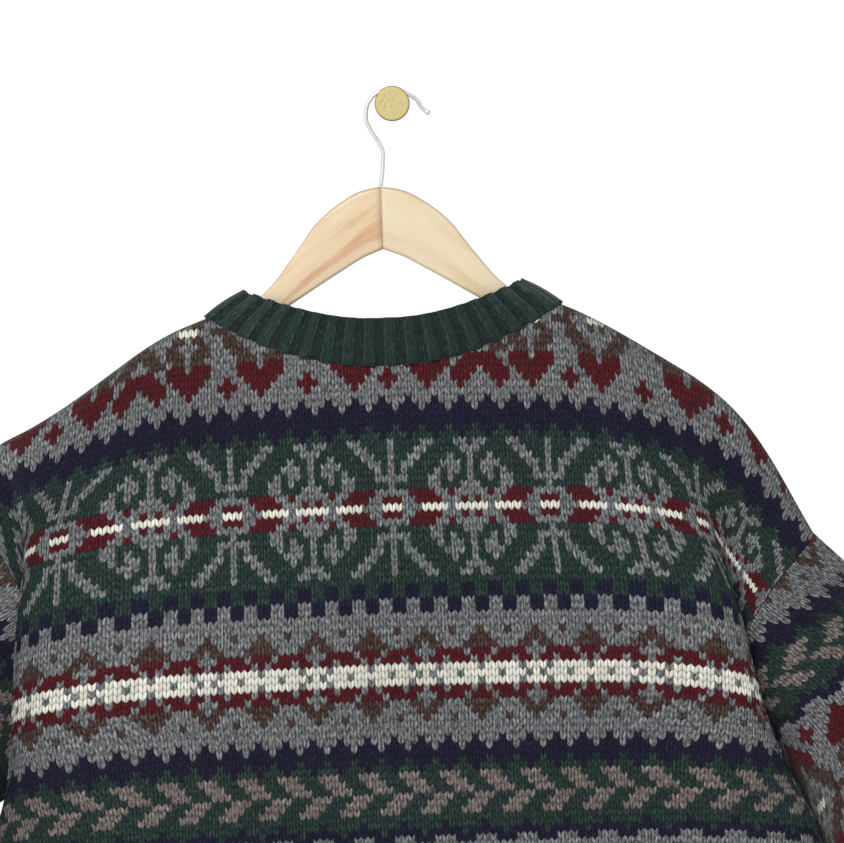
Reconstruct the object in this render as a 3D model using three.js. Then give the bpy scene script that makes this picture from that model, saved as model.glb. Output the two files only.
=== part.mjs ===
// Fair isle jumper with dropped shoulders, hung by a wooden hanger on a round wall peg.
// Millimetres, +Z up. The wall is the plane y = 0 and the peg's centre is the origin.
// The jumper's back faces -Y, away from the wall.
import * as THREE from "three";

// Gauge of the knitting
const ROW = 5.05;
const WALL = 3;
const SEAM_GAP = 0.4;
const ARMHOLE_GAP = 0.7;
const MID_GAP = 0.2;

// Body panels, counted in stitches from the middle and in rows below the star row
const HALF_STITCHES = 70;
const NECK_STITCHES = 27;
const NECK_SIDE_ROW = -28;
const BACK_NECK_ROW = -20;
const FRONT_NECK_ROW = -4;
const SHOULDER_END_ROW = -16;
const UNDERARM_ROW = 33;
const HEM_ROW = 100;
const STAR_ROW_DROP = 226;
const SHOULDER_ROLL_ROWS = 5;
const NECK_OPENING = 0.3;

// Shape of a row from the middle out: a point half way to the knee, and the valley past it.
const HALF_WAY = { stitch: 0.55, out: 0.565, fall: 0.13 };
const VALLEY_STITCH = 0.3;

// Ribs
const RIB_REPEAT = 15;
const RIB_RISE = 2;
const NECKBAND_HEIGHT = 34;
const NECKBAND_LEAN = 1.02;
const NECKBAND_LEAN_CURVE = 1.4;
const NECKBAND_SET_BACK = { front: -0.32, back: 0.1 };
const NECKBAND_GAP = 1;
const NECKBAND_RIB_START = 0.15;
const HEM_RIB_LENGTH = 65;
const HEM_RIB_DRAW_IN = 0.975;
const CUFF_LENGTH = 62;
const CUFF_REPEAT = 12;

// How it hangs
const HANG_TILT = THREE.MathUtils.degToRad(2.2);
const HANGER_TOP = { x: -8.4, z: -58.1 };
const HANG_DEPTH = -48;

// Hanger, hook and peg
const HANGER_THICK = 10.4;
const HANGER_ROUND = 3.2;
const HANGER_JOINT_GAP = 0.3;
const HOOK_WIRE = 2.8;
const PEG_STEM_RADIUS = 9.4;
const PEG_HEAD_RADIUS = 12.3;
const PEG_STEM_LENGTH = 66;
const PEG_LENGTH = 74;
const PEG_EDGE = 1;

// One arm of the hanger, at distances out from the joint: its top and underside, down from the crown.
const armSections = [
  { out: 0, top: 0, under: 44.5 }, { out: 14, top: 2.6, under: 50 },
  { out: 28, top: 9.8, under: 58 }, { out: 49, top: 27, under: 70.5 },
  { out: 57, top: 38, under: 75.5 }, { out: 66, top: 50, under: 81 },
  { out: 80, top: 67.5, under: 90.5 }, { out: 96, top: 81, under: 100 },
  { out: 125, top: 100.2, under: 117 }, { out: 168, top: 117, under: 139 },
  { out: 200, top: 138, under: 156 }, { out: 213, top: 151, under: 162 },
];
const ARM_TIP_ROUND = 9;
const armTipSteps = [9, 5, 2, 0.4];

// The wire's route in the plane of the hanger, from the peg's centre.
const hookRoute = [
  { x: 26.6, z: -6.3 }, { x: 21, z: -2.2 }, { x: 17.2, z: 3.6 }, { x: 12.4, z: 6.8 },
  { x: 6, z: 9.9 }, { x: -1.4, z: 11.2 }, { x: -8.8, z: 9.5 }, { x: -14.9, z: 4.8 },
  { x: -18.4, z: -2 }, { x: -18.9, z: -9.5 }, { x: -15.8, z: -17.6 }, { x: -10, z: -26.5 },
  { x: -6.8, z: -34 }, { x: -7, z: -45 }, { x: -8.3, z: -57.6 },
];

// Half depth of the body from its middle plane, at rows from the shoulder to the hem.
const depthSections = [
  { row: -28, centre: 15, knee: 15, valley: 13, seam: 11, valleyOut: 0.36, valleyDown: 0.2 },
  { row: -16, centre: 16, knee: 17, valley: 12, seam: 11, valleyOut: 0.36, valleyDown: 0.22 },
  { row: 0, centre: 23, knee: 28, valley: 14, seam: 26, valleyOut: 0.26, valleyDown: 0.24 },
  { row: 10, centre: 28, knee: 37, valley: 22, seam: 21, valleyOut: 0.22, valleyDown: 0.26 },
  { row: 24, centre: 33, knee: 43, valley: 25, seam: 14, valleyOut: 0.24, valleyDown: 0.3 },
  { row: 33, centre: 33, knee: 41, valley: 27, seam: 0, valleyOut: 0.3, valleyDown: 0.3 },
  { row: 44, centre: 31, knee: 34, valley: 26, seam: 0, valleyOut: 0.5, valleyDown: 0.3 },
  { row: 60, centre: 28, knee: 30, valley: 22, seam: 0, valleyOut: 0.55, valleyDown: 0.3 },
  { row: 100, centre: 24, knee: 26, valley: 18, seam: 0, valleyOut: 0.55, valleyDown: 0.3 },
];

// Lie of the cloth to each side: where a row bends over the hanger's end (knee), and its outer edge.
const rightSections = [
  { row: -28, kneeStitch: 46, kneeOut: 206, kneeFall: 22, edgeOut: 334, edgeDown: 214 },
  { row: -16, kneeStitch: 46, kneeOut: 207, kneeFall: 27, edgeOut: 298, edgeDown: 258 },
  { row: 0, kneeStitch: 49, kneeOut: 220, kneeFall: 20, edgeOut: 258, edgeDown: 302 },
  { row: 10, kneeStitch: 51, kneeOut: 237, kneeFall: 20, edgeOut: 236, edgeDown: 346 },
  { row: 24, kneeStitch: 54, kneeOut: 252, kneeFall: 21, edgeOut: 249, edgeDown: 394 },
  { row: 33, kneeStitch: 58, kneeOut: 265, kneeFall: 16, edgeOut: 266, edgeDown: 421 },
  { row: 44, kneeStitch: 62, kneeOut: 285, kneeFall: 11, edgeOut: 292, edgeDown: 466 },
  { row: 60, kneeStitch: 64, kneeOut: 297, kneeFall: 8, edgeOut: 304, edgeDown: 541 },
  { row: 100, kneeStitch: 64, kneeOut: 303, kneeFall: 4, edgeOut: 312, edgeDown: 737 },
];
const leftSections = [
  { row: -28, kneeStitch: 56, kneeOut: 254, kneeFall: 38, edgeOut: 342, edgeDown: 156 },
  { row: -16, kneeStitch: 56, kneeOut: 256, kneeFall: 36, edgeOut: 312, edgeDown: 206 },
  { row: 0, kneeStitch: 57, kneeOut: 259, kneeFall: 25, edgeOut: 262, edgeDown: 285 },
  { row: 10, kneeStitch: 58, kneeOut: 265, kneeFall: 21, edgeOut: 264, edgeDown: 330 },
  { row: 24, kneeStitch: 58, kneeOut: 270, kneeFall: 16, edgeOut: 269, edgeDown: 388 },
  { row: 33, kneeStitch: 60, kneeOut: 275, kneeFall: 14, edgeOut: 276, edgeDown: 420 },
  { row: 44, kneeStitch: 63, kneeOut: 289, kneeFall: 10, edgeOut: 295, edgeDown: 466 },
  { row: 60, kneeStitch: 64, kneeOut: 297, kneeFall: 8, edgeOut: 304, edgeDown: 541 },
  { row: 100, kneeStitch: 64, kneeOut: 303, kneeFall: 4, edgeOut: 312, edgeDown: 737 },
];

// Sleeves: their upper fold and underside, at distances below the armhole seam.
// Lean carries the middle of a round towards the body, where the sleeve folds in behind it.
const rightSleeveSections = [
  { down: 0, topOut: 298, topDown: 258, underOut: 266, underDown: 421, depth: 37, lean: 30 },
  { down: 60, topOut: 343, topDown: 304, underOut: 289, underDown: 452, depth: 36, lean: 20 },
  { down: 130, topOut: 381, topDown: 362, underOut: 304, underDown: 506, depth: 36, lean: 12 },
  { down: 210, topOut: 408, topDown: 440, underOut: 311, underDown: 566, depth: 33, lean: 8 },
  { down: 300, topOut: 423, topDown: 545, underOut: 318, underDown: 612, depth: 30, lean: 3 },
  { down: 400, topOut: 431, topDown: 650, underOut: 336, underDown: 680, depth: 27, lean: 0 },
  { down: 450, topOut: 432, topDown: 704, underOut: 352, underDown: 716, depth: 24, lean: 0 },
];
const leftSleeveSections = [
  { down: 0, topOut: 312, topDown: 206, underOut: 276, underDown: 420, depth: 37, lean: 22 },
  { down: 60, topOut: 352, topDown: 258, underOut: 313, underDown: 448, depth: 36, lean: 14 },
  { down: 130, topOut: 383, topDown: 334, underOut: 323, underDown: 506, depth: 38, lean: 12 },
  { down: 210, topOut: 406, topDown: 418, underOut: 333, underDown: 566, depth: 35, lean: 6 },
  { down: 300, topOut: 419, topDown: 530, underOut: 340, underDown: 608, depth: 31, lean: 3 },
  { down: 400, topOut: 426, topDown: 642, underOut: 345, underDown: 678, depth: 27, lean: 0 },
  { down: 450, topOut: 427, topDown: 700, underOut: 348, underDown: 718, depth: 24, lean: 0 },
];
const SLEEVE_LENGTH = 450;
const SEAM_EASE = 90;
const UNDERARM_SHARE = 0.92;
const CUFF_SLOPE = THREE.MathUtils.degToRad(-84);
const CUFF_WIDTH = 84;
const CUFF_DEPTH = 36;

// Rows of the panels' grid at the armhole edge, close together where the shoulder rolls over.
const edgeRows = [
  SHOULDER_END_ROW, -15.4, -14, -11.6, -7, -1, 5, 11, 17, 23, 28.5,
  UNDERARM_ROW, 38, 44, 52, 62, 78, HEM_ROW,
];
const panelStitches = [
  0, 3, 6, 9, 12, 15, 18, 21, 23.5, 25.4, 26.5, NECK_STITCHES, 33, 39, 44, 48, 52, 56, 59, 62, 65, 67.8,
  HALF_STITCHES,
];
const sleeveSteps = [0, 12, 28, 50, 80, 115, 155, 200, 250, 305, 360, 410, SLEEVE_LENGTH];

// A smooth monotone curve through the points (xs, ys), read at x.
function through(xs, ys, x) {
  const last = xs.length - 1;
  if (x <= xs[0]) return ys[0];
  if (x >= xs[last]) return ys[last];
  const step = (i) => xs[i + 1] - xs[i];
  const slope = (i) => (ys[i + 1] - ys[i]) / step(i);
  const tangent = (i) => {
    if (i === 0) return slope(0);
    if (i === last) return slope(last - 1);
    const before = slope(i - 1);
    const after = slope(i);
    if (before * after <= 0) return 0;
    const near = 2 * step(i) + step(i - 1);
    const far = step(i) + 2 * step(i - 1);
    return (near + far) / (near / before + far / after);
  };
  let i = 0;
  while (x > xs[i + 1]) i += 1;
  const t = (x - xs[i]) / step(i);
  const s = 1 - t;
  return ys[i] * (1 + 2 * t) * s * s + ys[i + 1] * (3 - 2 * t) * t * t
    + step(i) * (tangent(i) * t * s * s - tangent(i + 1) * t * t * s);
}

// One named column of a table, read between its rows.
function read(table, key, column, at) {
  return through(table.map((line) => line[key]), table.map((line) => line[column]), at);
}

function easeIn(t) {
  const clamped = Math.min(Math.max(t, 0), 1);
  return clamped * clamped * (3 - 2 * clamped);
}

// Top row of a panel at a stitch: the neckline, then the sloping shoulder seam.
function topRow(stitch, neckRow) {
  const out = Math.abs(stitch);
  if (out < NECK_STITCHES) {
    return neckRow + (NECK_SIDE_ROW - neckRow) * (out / NECK_STITCHES) ** 2;
  }
  const along = (out - NECK_STITCHES) / (HALF_STITCHES - NECK_STITCHES);
  return NECK_SIDE_ROW + (SHOULDER_END_ROW - NECK_SIDE_ROW) * along;
}

// A point of the back panel's outer face: out, up from the hanger's top, and forward of the middle.
function bodyPoint(stitch, row, neckRow) {
  const out = Math.abs(stitch);
  const side = stitch < 0 ? -1 : 1;
  const table = stitch < 0 ? leftSections : rightSections;
  const at = (column) => read(table, "row", column, row);
  const depthAt = (column) => read(depthSections, "row", column, row);
  const centreUp = -STAR_ROW_DROP - ROW * row;
  const knee = at("kneeStitch");
  const kneeOut = at("kneeOut");
  const kneeUp = centreUp - at("kneeFall");
  const edgeOut = at("edgeOut");
  const edgeUp = -at("edgeDown");
  const half = knee * HALF_WAY.stitch;
  const valley = knee + (HALF_STITCHES - knee) * VALLEY_STITCH;
  const stitches = [0, half, knee, valley, HALF_STITCHES];
  const valleyOut = kneeOut + (edgeOut - kneeOut) * depthAt("valleyOut");
  const valleyUp = kneeUp + (edgeUp - kneeUp) * depthAt("valleyDown");
  const halfUp = centreUp - at("kneeFall") * HALF_WAY.fall;
  const outs = [0, kneeOut * HALF_WAY.out, kneeOut, valleyOut, edgeOut];
  const ups = [centreUp, halfUp, kneeUp, valleyUp, edgeUp];
  const depths = ["centre", "centre", "knee", "valley", "seam"].map(depthAt);
  const fromTop = (row - topRow(stitch, neckRow)) / SHOULDER_ROLL_ROWS;
  const roll = Math.sqrt(1 - (1 - Math.min(Math.max(fromTop, 0), 1)) ** 2);
  const neckOpen = out < NECK_STITCHES ? (1 - (out / NECK_STITCHES) ** 2) ** NECK_OPENING : 0;
  const fill = neckOpen + (1 - neckOpen) * roll;
  return new THREE.Vector3(
    side * through(stitches, outs, out),
    -through(stitches, depths, out) * fill,
    through(stitches, ups, out),
  );
}

// Unit normal of a surface at a point, by small steps along it.
function normalOf(surface, a, b, stepA, stepB) {
  const alongA = surface(a + stepA, b).sub(surface(a - stepA, b));
  const alongB = surface(a, b + stepB).sub(surface(a, b - stepB));
  return alongA.cross(alongB).normalize();
}

// A closed wall from two grids of points, outer and inner. Rows may close into rings.
function wallMesh(outer, inner, ring) {
  const across = outer[0].length;
  const down = outer.length;
  const points = [...outer.flat(), ...inner.flat()];
  const innerStart = across * down;
  const index = [];
  const quad = (a, b, c, d) => index.push(a, b, c, a, c, d);
  const columns = ring ? across : across - 1;
  for (let r = 0; r < down - 1; r += 1) {
    for (let c = 0; c < columns; c += 1) {
      const next = (c + 1) % across;
      const [a, b] = [r * across + c, r * across + next];
      const [d, e] = [a + across, b + across];
      quad(a, d, e, b);
      quad(innerStart + a, innerStart + b, innerStart + e, innerStart + d);
    }
  }
  const bottom = (down - 1) * across;
  for (let c = 0; c < columns; c += 1) {
    const next = (c + 1) % across;
    quad(c, next, innerStart + next, innerStart + c);
    quad(bottom + next, bottom + c, innerStart + bottom + c, innerStart + bottom + next);
  }
  if (!ring) {
    for (let r = 0; r < down - 1; r += 1) {
      const [a, d] = [r * across, (r + 1) * across];
      const [b, e] = [a + across - 1, d + across - 1];
      quad(d, a, innerStart + a, innerStart + d);
      quad(b, e, innerStart + e, innerStart + b);
    }
  }
  const geometry = new THREE.BufferGeometry();
  geometry.setAttribute("position", new THREE.Float32BufferAttribute(
    points.flatMap((point) => [point.x, point.y, point.z]), 3));
  geometry.setIndex(index);
  geometry.computeVertexNormals();
  return geometry;
}

// Faces turned the other way, for a wall mirrored to the front of the jumper.
function flipped(geometry) {
  const index = Array.from(geometry.getIndex().array);
  for (let i = 0; i < index.length; i += 3) {
    [index[i + 1], index[i + 2]] = [index[i + 2], index[i + 1]];
  }
  geometry.setIndex(index);
  geometry.computeVertexNormals();
  return geometry;
}

function keptBehind(point) {
  return new THREE.Vector3(point.x, Math.min(point.y, -MID_GAP), point.z);
}

// Outer and inner points of the back half of the body at a stitch and row.
function bodyPair(stitch, row, neckRow) {
  const surface = (s, r) => bodyPoint(s, r, neckRow);
  const limit = HALF_STITCHES - 0.5;
  const inset = Math.max(Math.min(stitch, limit), -limit);
  const top = topRow(stitch, neckRow);
  const below = Math.max(row, top + 0.35);
  const normal = normalOf(surface, inset, below, 0.5, 0.3);
  const outer = surface(stitch, row);
  const inner = outer.clone().addScaledVector(normal, WALL);
  return { outer: keptBehind(outer), inner: keptBehind(inner) };
}

function panelGrids(neckRow) {
  const stitches = [...panelStitches.slice(1).reverse().map((s) => -s), ...panelStitches];
  const outer = [];
  const inner = [];
  for (const edgeRow of edgeRows) {
    const share = (edgeRow - SHOULDER_END_ROW) / (HEM_ROW - SHOULDER_END_ROW);
    const pairs = stitches.map((stitch) => {
      const top = topRow(stitch, neckRow);
      return bodyPair(stitch, top + (HEM_ROW - top) * share, neckRow);
    });
    outer.push(pairs.map((pair) => pair.outer));
    inner.push(pairs.map((pair) => pair.inner));
  }
  return { outer, inner };
}

function mirrored(grid) {
  return grid.map((line) => line.map((p) => new THREE.Vector3(p.x, -p.y, p.z)));
}

function panel(neckRow, isFront) {
  const { outer, inner } = panelGrids(neckRow);
  if (!isFront) return wallMesh(outer, inner, false);
  return flipped(wallMesh(mirrored(outer), mirrored(inner), false));
}

// Height of a rib above its valley, at a distance along the band: two stitches up, two down.
function ribRise(step) {
  return step % 4 < 2 ? RIB_RISE : 0;
}

// The armhole seam's loop at an angle from the shoulder (0) round the back to the underarm (pi).
function armholePoint(side, angle) {
  const turn = ((angle % (2 * Math.PI)) + 2 * Math.PI) % (2 * Math.PI);
  const behind = turn <= Math.PI;
  const share = (behind ? turn : 2 * Math.PI - turn) / Math.PI;
  const row = SHOULDER_END_ROW + (UNDERARM_ROW - SHOULDER_END_ROW) * share;
  const point = bodyPoint(side * HALF_STITCHES, row, BACK_NECK_ROW);
  if (!behind) point.y = -point.y;
  return point;
}

// The sleeve's first round: the armhole's own rim, moved outwards by the seam's gap.
function armholePair(side, angle) {
  const behind = angle <= Math.PI;
  const share = (behind ? angle : 2 * Math.PI - angle) / Math.PI;
  const row = SHOULDER_END_ROW + (UNDERARM_ROW - SHOULDER_END_ROW) * share;
  const pair = bodyPair(side * HALF_STITCHES, row, BACK_NECK_ROW);
  const onMiddle = share === 0 || share === 1;
  const along = sleevePoint(side, angle, 14).sub(sleevePoint(side, angle, 0)).normalize();
  const surface = (a, d) => sleevePoint(side, a, d);
  const normal = normalOf(surface, angle, 4, 0.05, 2).multiplyScalar(-side * WALL);
  if (!behind) normal.y = -normal.y;
  pair.inner.lerp(pair.outer.clone().add(normal), easeIn((share - UNDERARM_SHARE) / (1 - UNDERARM_SHARE)));
  return [pair.outer, pair.inner].map((point) => {
    if (onMiddle) point.y = 0;
    if (!behind) point.y = -point.y;
    return point.addScaledVector(along, ARMHOLE_GAP);
  });
}

// A round of a sleeve at an angle and a distance down, from its table alone.
function sleeveRound(side, angle, down) {
  const table = side < 0 ? leftSleeveSections : rightSleeveSections;
  const at = (column) => read(table, "down", column, down);
  const top = new THREE.Vector3(side * at("topOut"), 0, -at("topDown"));
  const under = new THREE.Vector3(side * at("underOut"), 0, -at("underDown"));
  const chord = under.clone().sub(top).normalize();
  const inward = new THREE.Vector3(side * chord.z, 0, -side * chord.x);
  const share = (1 - Math.cos(angle)) / 2;
  const point = top.lerp(under, share).addScaledVector(inward, at("lean") * Math.sin(angle) ** 2);
  point.y = -at("depth") * Math.sin(angle);
  return point;
}

// A point of a sleeve's outer face: it leaves the armhole seam and eases into the table's rounds.
function sleevePoint(side, angle, down) {
  const start = armholePoint(side, angle).sub(sleeveRound(side, angle, 0));
  return sleeveRound(side, angle, down).addScaledVector(start, 1 - easeIn(down / SEAM_EASE));
}

function sleeveAngles() {
  const rows = edgeRows.filter((row) => row <= UNDERARM_ROW);
  const span = UNDERARM_ROW - SHOULDER_END_ROW;
  const back = rows.map((row) => Math.PI * (row - SHOULDER_END_ROW) / span);
  const front = back.slice(1, -1).reverse().map((angle) => 2 * Math.PI - angle);
  return [...back, ...front];
}

function sleeve(side) {
  const surface = (angle, down) => sleevePoint(side, angle, down);
  const outer = [];
  const inner = [];
  const across = surface(0, SLEEVE_LENGTH).sub(surface(Math.PI, SLEEVE_LENGTH)).normalize();
  const plane = new THREE.Vector3(-across.z, 0, across.x);
  for (const down of sleeveSteps) {
    const pairs = sleeveAngles().map((angle) => {
      if (down === 0) return armholePair(side, angle);
      const normal = normalOf(surface, angle, down, 0.05, 2).multiplyScalar(-side);
      if (down === SLEEVE_LENGTH) normal.addScaledVector(plane, -normal.dot(plane)).normalize();
      const point = surface(angle, down);
      return [point, point.clone().addScaledVector(normal, WALL)];
    });
    outer.push(pairs.map((pair) => pair[0]));
    inner.push(pairs.map((pair) => pair[1]));
  }
  const geometry = wallMesh(outer, inner, true);
  return side < 0 ? geometry : flipped(geometry);
}

// A ribbed tube between two oval rounds, such as a cuff.
function cuff(side) {
  const table = side < 0 ? leftSleeveSections : rightSleeveSections;
  const end = table[table.length - 1];
  const top = new THREE.Vector3(side * end.topOut, 0, -end.topDown);
  const under = new THREE.Vector3(side * end.underOut, 0, -end.underDown);
  const centre = top.clone().add(under).multiplyScalar(0.5);
  const across = top.clone().sub(under).normalize();
  const fall = new THREE.Vector3(side * Math.cos(CUFF_SLOPE), 0, Math.sin(CUFF_SLOPE));
  const flat = new THREE.Vector3(1, 0, 0).multiplyScalar(side);
  const count = 4 * Math.round(Math.PI * (CUFF_WIDTH + CUFF_DEPTH) / 2 / CUFF_REPEAT);
  const steps = [
    { share: 0, width: top.distanceTo(under), depth: 2 * end.depth, turn: 0 },
    { share: 1, width: CUFF_WIDTH, depth: CUFF_DEPTH, turn: 1 },
  ];
  const rounds = (inset, ribbed) => steps.map((step) => {
    const line = [];
    const wide = across.clone().lerp(flat, step.turn).normalize();
    const middle = centre.clone().addScaledVector(fall, SEAM_GAP + CUFF_LENGTH * step.share);
    for (let i = 0; i < count; i += 1) {
      const angle = 2 * Math.PI * i / count;
      const rise = ribbed ? ribRise(i) : 0;
      const point = middle.clone()
        .addScaledVector(wide, (step.width / 2 - inset + rise) * Math.cos(angle));
      point.y = -(step.depth / 2 - inset + rise) * Math.sin(angle);
      line.push(point);
    }
    return line;
  });
  const geometry = wallMesh(rounds(0, true), rounds(WALL, false), true);
  return side < 0 ? geometry : flipped(geometry);
}

// Stitches along a panel's edge at even distances, for ribs that follow it.
function evenStitches(from, to, count, place) {
  const fine = 400;
  const lengths = [0];
  for (let i = 1; i <= fine; i += 1) {
    const here = place(from + (to - from) * i / fine);
    const before = place(from + (to - from) * (i - 1) / fine);
    lengths.push(lengths[i - 1] + here.distanceTo(before));
  }
  const stitches = [];
  for (let i = 0; i < count; i += 1) {
    const wanted = lengths[fine] * i / count;
    const after = Math.max(1, lengths.findIndex((length) => length >= wanted));
    const share = (wanted - lengths[after - 1]) / (lengths[after] - lengths[after - 1]);
    stitches.push(from + (to - from) * (after - 1 + share) / fine);
  }
  return { stitches, length: lengths[fine] };
}

// Direction in which the neckband stands up from the neckline at a stitch.
function neckbandRise(stitch, isFront) {
  const out = stitch / NECK_STITCHES;
  const angle = NECKBAND_LEAN * Math.sign(out) * Math.abs(out) ** NECKBAND_LEAN_CURVE;
  const setBack = isFront ? NECKBAND_SET_BACK.front : NECKBAND_SET_BACK.back;
  const along = setBack * (1 - Math.abs(out));
  return new THREE.Vector3(-Math.sin(angle), along, Math.cos(angle)).normalize();
}

function neckband() {
  const halves = [
    { neckRow: BACK_NECK_ROW, isFront: false, from: -NECK_STITCHES, to: NECK_STITCHES },
    { neckRow: FRONT_NECK_ROW, isFront: true, from: NECK_STITCHES, to: -NECK_STITCHES },
  ];
  const shares = [0, NECKBAND_RIB_START, 1];
  const outer = shares.map(() => []);
  const inner = shares.map(() => []);
  for (const half of halves) {
    const turned = (p) => new THREE.Vector3(p.x, half.isFront ? -p.y : p.y, p.z);
    const pairAt = (s) => bodyPair(s, topRow(s, half.neckRow), half.neckRow);
    const place = (s) => pairAt(s).outer;
    const whole = evenStitches(half.from, half.to, 2, place).length;
    const count = 4 * Math.round(whole / RIB_REPEAT);
    const { stitches } = evenStitches(half.from, half.to, count, place);
    stitches.forEach((stitch, i) => {
      const pair = pairAt(stitch);
      const rise = neckbandRise(stitch, half.isFront);
      const onFold = Math.abs(Math.abs(stitch) - NECK_STITCHES) < 1e-6;
      const start = turned(pair.outer);
      const seat = turned(pair.inner);
      if (onFold) [start.y, seat.y] = [0, 0];
      const out = outward(stitch, half);
      shares.forEach((share, level) => {
        const up = NECKBAND_GAP + NECKBAND_HEIGHT * share;
        const ribbed = level > 0 ? ribRise(i) : 0;
        const plain = start.clone().addScaledVector(out, -WALL);
        const lining = level > 0 ? plain : seat;
        outer[level].push(start.clone().addScaledVector(rise, up).addScaledVector(out, ribbed));
        inner[level].push(lining.clone().addScaledVector(rise, up));
      });
    });
  }
  return flipped(wallMesh(outer, inner, true));
}

// Level direction out of the neck opening at a stitch of the neckline.
function outward(stitch, half) {
  const angle = Math.PI / 2 * stitch / NECK_STITCHES;
  const facing = half.isFront ? 1 : -1;
  const rise = neckbandRise(stitch, half.isFront);
  const level = new THREE.Vector3(Math.sin(angle) * 0.5, facing * Math.cos(angle), 0);
  level.z = Math.sin(Math.abs(angle)) * 0.9;
  return level.addScaledVector(rise, -level.dot(rise)).normalize();
}

// A ribbed strip below a panel's last row.
function hemRib(isFront) {
  const place = (s) => bodyPair(s, HEM_ROW, BACK_NECK_ROW).outer;
  const whole = evenStitches(-HALF_STITCHES, HALF_STITCHES, 2, place).length;
  const count = 4 * Math.round(whole / RIB_REPEAT);
  const { stitches } = evenStitches(-HALF_STITCHES, HALF_STITCHES, count, place);
  stitches.push(HALF_STITCHES);
  const levels = [
    { down: SEAM_GAP, squeeze: 1 },
    { down: HEM_RIB_LENGTH, squeeze: HEM_RIB_DRAW_IN },
  ];
  const grid = (side) => levels.map((level) => stitches.map((stitch, i) => {
    const pair = bodyPair(stitch, HEM_ROW, BACK_NECK_ROW);
    const point = pair[side].clone();
    const proud = side === "outer" ? ribRise(i) : 0;
    const normal = pair.outer.clone().sub(pair.inner).normalize();
    point.addScaledVector(normal, proud);
    point.x *= level.squeeze;
    point.z = pair.outer.z - level.down;
    return keptBehind(point);
  }));
  const [outer, inner] = [grid("outer"), grid("inner")];
  if (!isFront) return wallMesh(outer, inner, false);
  return flipped(wallMesh(mirrored(outer), mirrored(inner), false));
}

// A closed solid through rounds of points, one after another.
function loft(rounds) {
  const around = rounds[0].length;
  const index = [];
  for (let r = 0; r < rounds.length - 1; r += 1) {
    for (let i = 0; i < around; i += 1) {
      const next = (i + 1) % around;
      const [a, b] = [r * around + i, r * around + next];
      index.push(a, b, b + around, a, b + around, a + around);
    }
  }
  const end = (rounds.length - 1) * around;
  for (let i = 1; i < around - 1; i += 1) {
    index.push(0, i + 1, i);
    index.push(end, end + i, end + i + 1);
  }
  const geometry = new THREE.BufferGeometry();
  geometry.setAttribute("position", new THREE.Float32BufferAttribute(
    rounds.flat().flatMap((point) => [point.x, point.y, point.z]), 3));
  geometry.setIndex(index);
  geometry.computeVertexNormals();
  return geometry;
}

// Hanger: each arm is a board with rounded edges, from the joint in the middle to its end.
function hangerArm(side) {
  const tip = armSections[armSections.length - 1].out;
  const inset = HANGER_THICK / 2 - HANGER_ROUND;
  const corners = [[1, 1], [-1, 1], [-1, -1], [1, -1]];
  const outs = [
    HANGER_JOINT_GAP / 2, ...armSections.slice(1, -1).map(({ out }) => out),
    ...armTipSteps.map((step) => tip - step),
  ];
  const rounds = outs.map((out) => {
    const top = read(armSections, "out", "top", out);
    const under = read(armSections, "out", "under", out);
    const past = Math.max(0, (out - (tip - ARM_TIP_ROUND)) / ARM_TIP_ROUND);
    const fullness = Math.sqrt(1 - past ** 2);
    const half = (under - top) / 2 * fullness;
    const round = Math.min(HANGER_ROUND, half * 0.9);
    return corners.flatMap(([across, up]) => [0, 1, 2].map((step) => {
      const turn = Math.PI / 4 * (across * up > 0 ? step : 2 - step);
      const y = across * (inset + HANGER_ROUND * Math.cos(turn)) * (0.6 + 0.4 * fullness);
      const z = up * (half - round + round * Math.sin(turn)) - (top + under) / 2;
      return new THREE.Vector3(side * out, y, z);
    }));
  });
  const geometry = loft(rounds);
  return side > 0 ? geometry : flipped(geometry);
}

// The wire hook, over the peg, from its tail down to the hanger's top.
function hook() {
  const route = new THREE.CatmullRomCurve3(
    hookRoute.map(({ x, z }) => new THREE.Vector3(x, 0, z)), false, "centripetal");
  const section = new THREE.Shape();
  section.absarc(0, 0, HOOK_WIRE / 2, 0, 2 * Math.PI);
  return new THREE.ExtrudeGeometry(section, {
    steps: 40, extrudePath: route, curveSegments: 4, bevelEnabled: false,
  });
}

// The turned wall peg: a round stem with a flat disc at its end.
function peg() {
  const profile = [
    [0, 0], [PEG_STEM_RADIUS, 0], [PEG_STEM_RADIUS, PEG_STEM_LENGTH],
    [PEG_HEAD_RADIUS - PEG_EDGE, PEG_STEM_LENGTH], [PEG_HEAD_RADIUS, PEG_STEM_LENGTH + PEG_EDGE],
    [PEG_HEAD_RADIUS, PEG_LENGTH - PEG_EDGE], [PEG_HEAD_RADIUS - PEG_EDGE, PEG_LENGTH],
    [0, PEG_LENGTH],
  ].map(([radius, out]) => new THREE.Vector2(radius, out));
  const geometry = new THREE.LatheGeometry(profile, 32);
  return geometry.rotateX(Math.PI);
}

const part = new THREE.Group();
const hung = new THREE.Group();
hung.position.set(HANGER_TOP.x, HANG_DEPTH, HANGER_TOP.z);
hung.rotation.y = -HANG_TILT;
part.add(hung);

function add(group, name, geometry, colour, roughness, metalness = 0) {
  const material = new THREE.MeshStandardMaterial({ color: colour, roughness, metalness });
  const mesh = new THREE.Mesh(geometry, material);
  mesh.name = name;
  group.add(mesh);
  return mesh;
}

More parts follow.
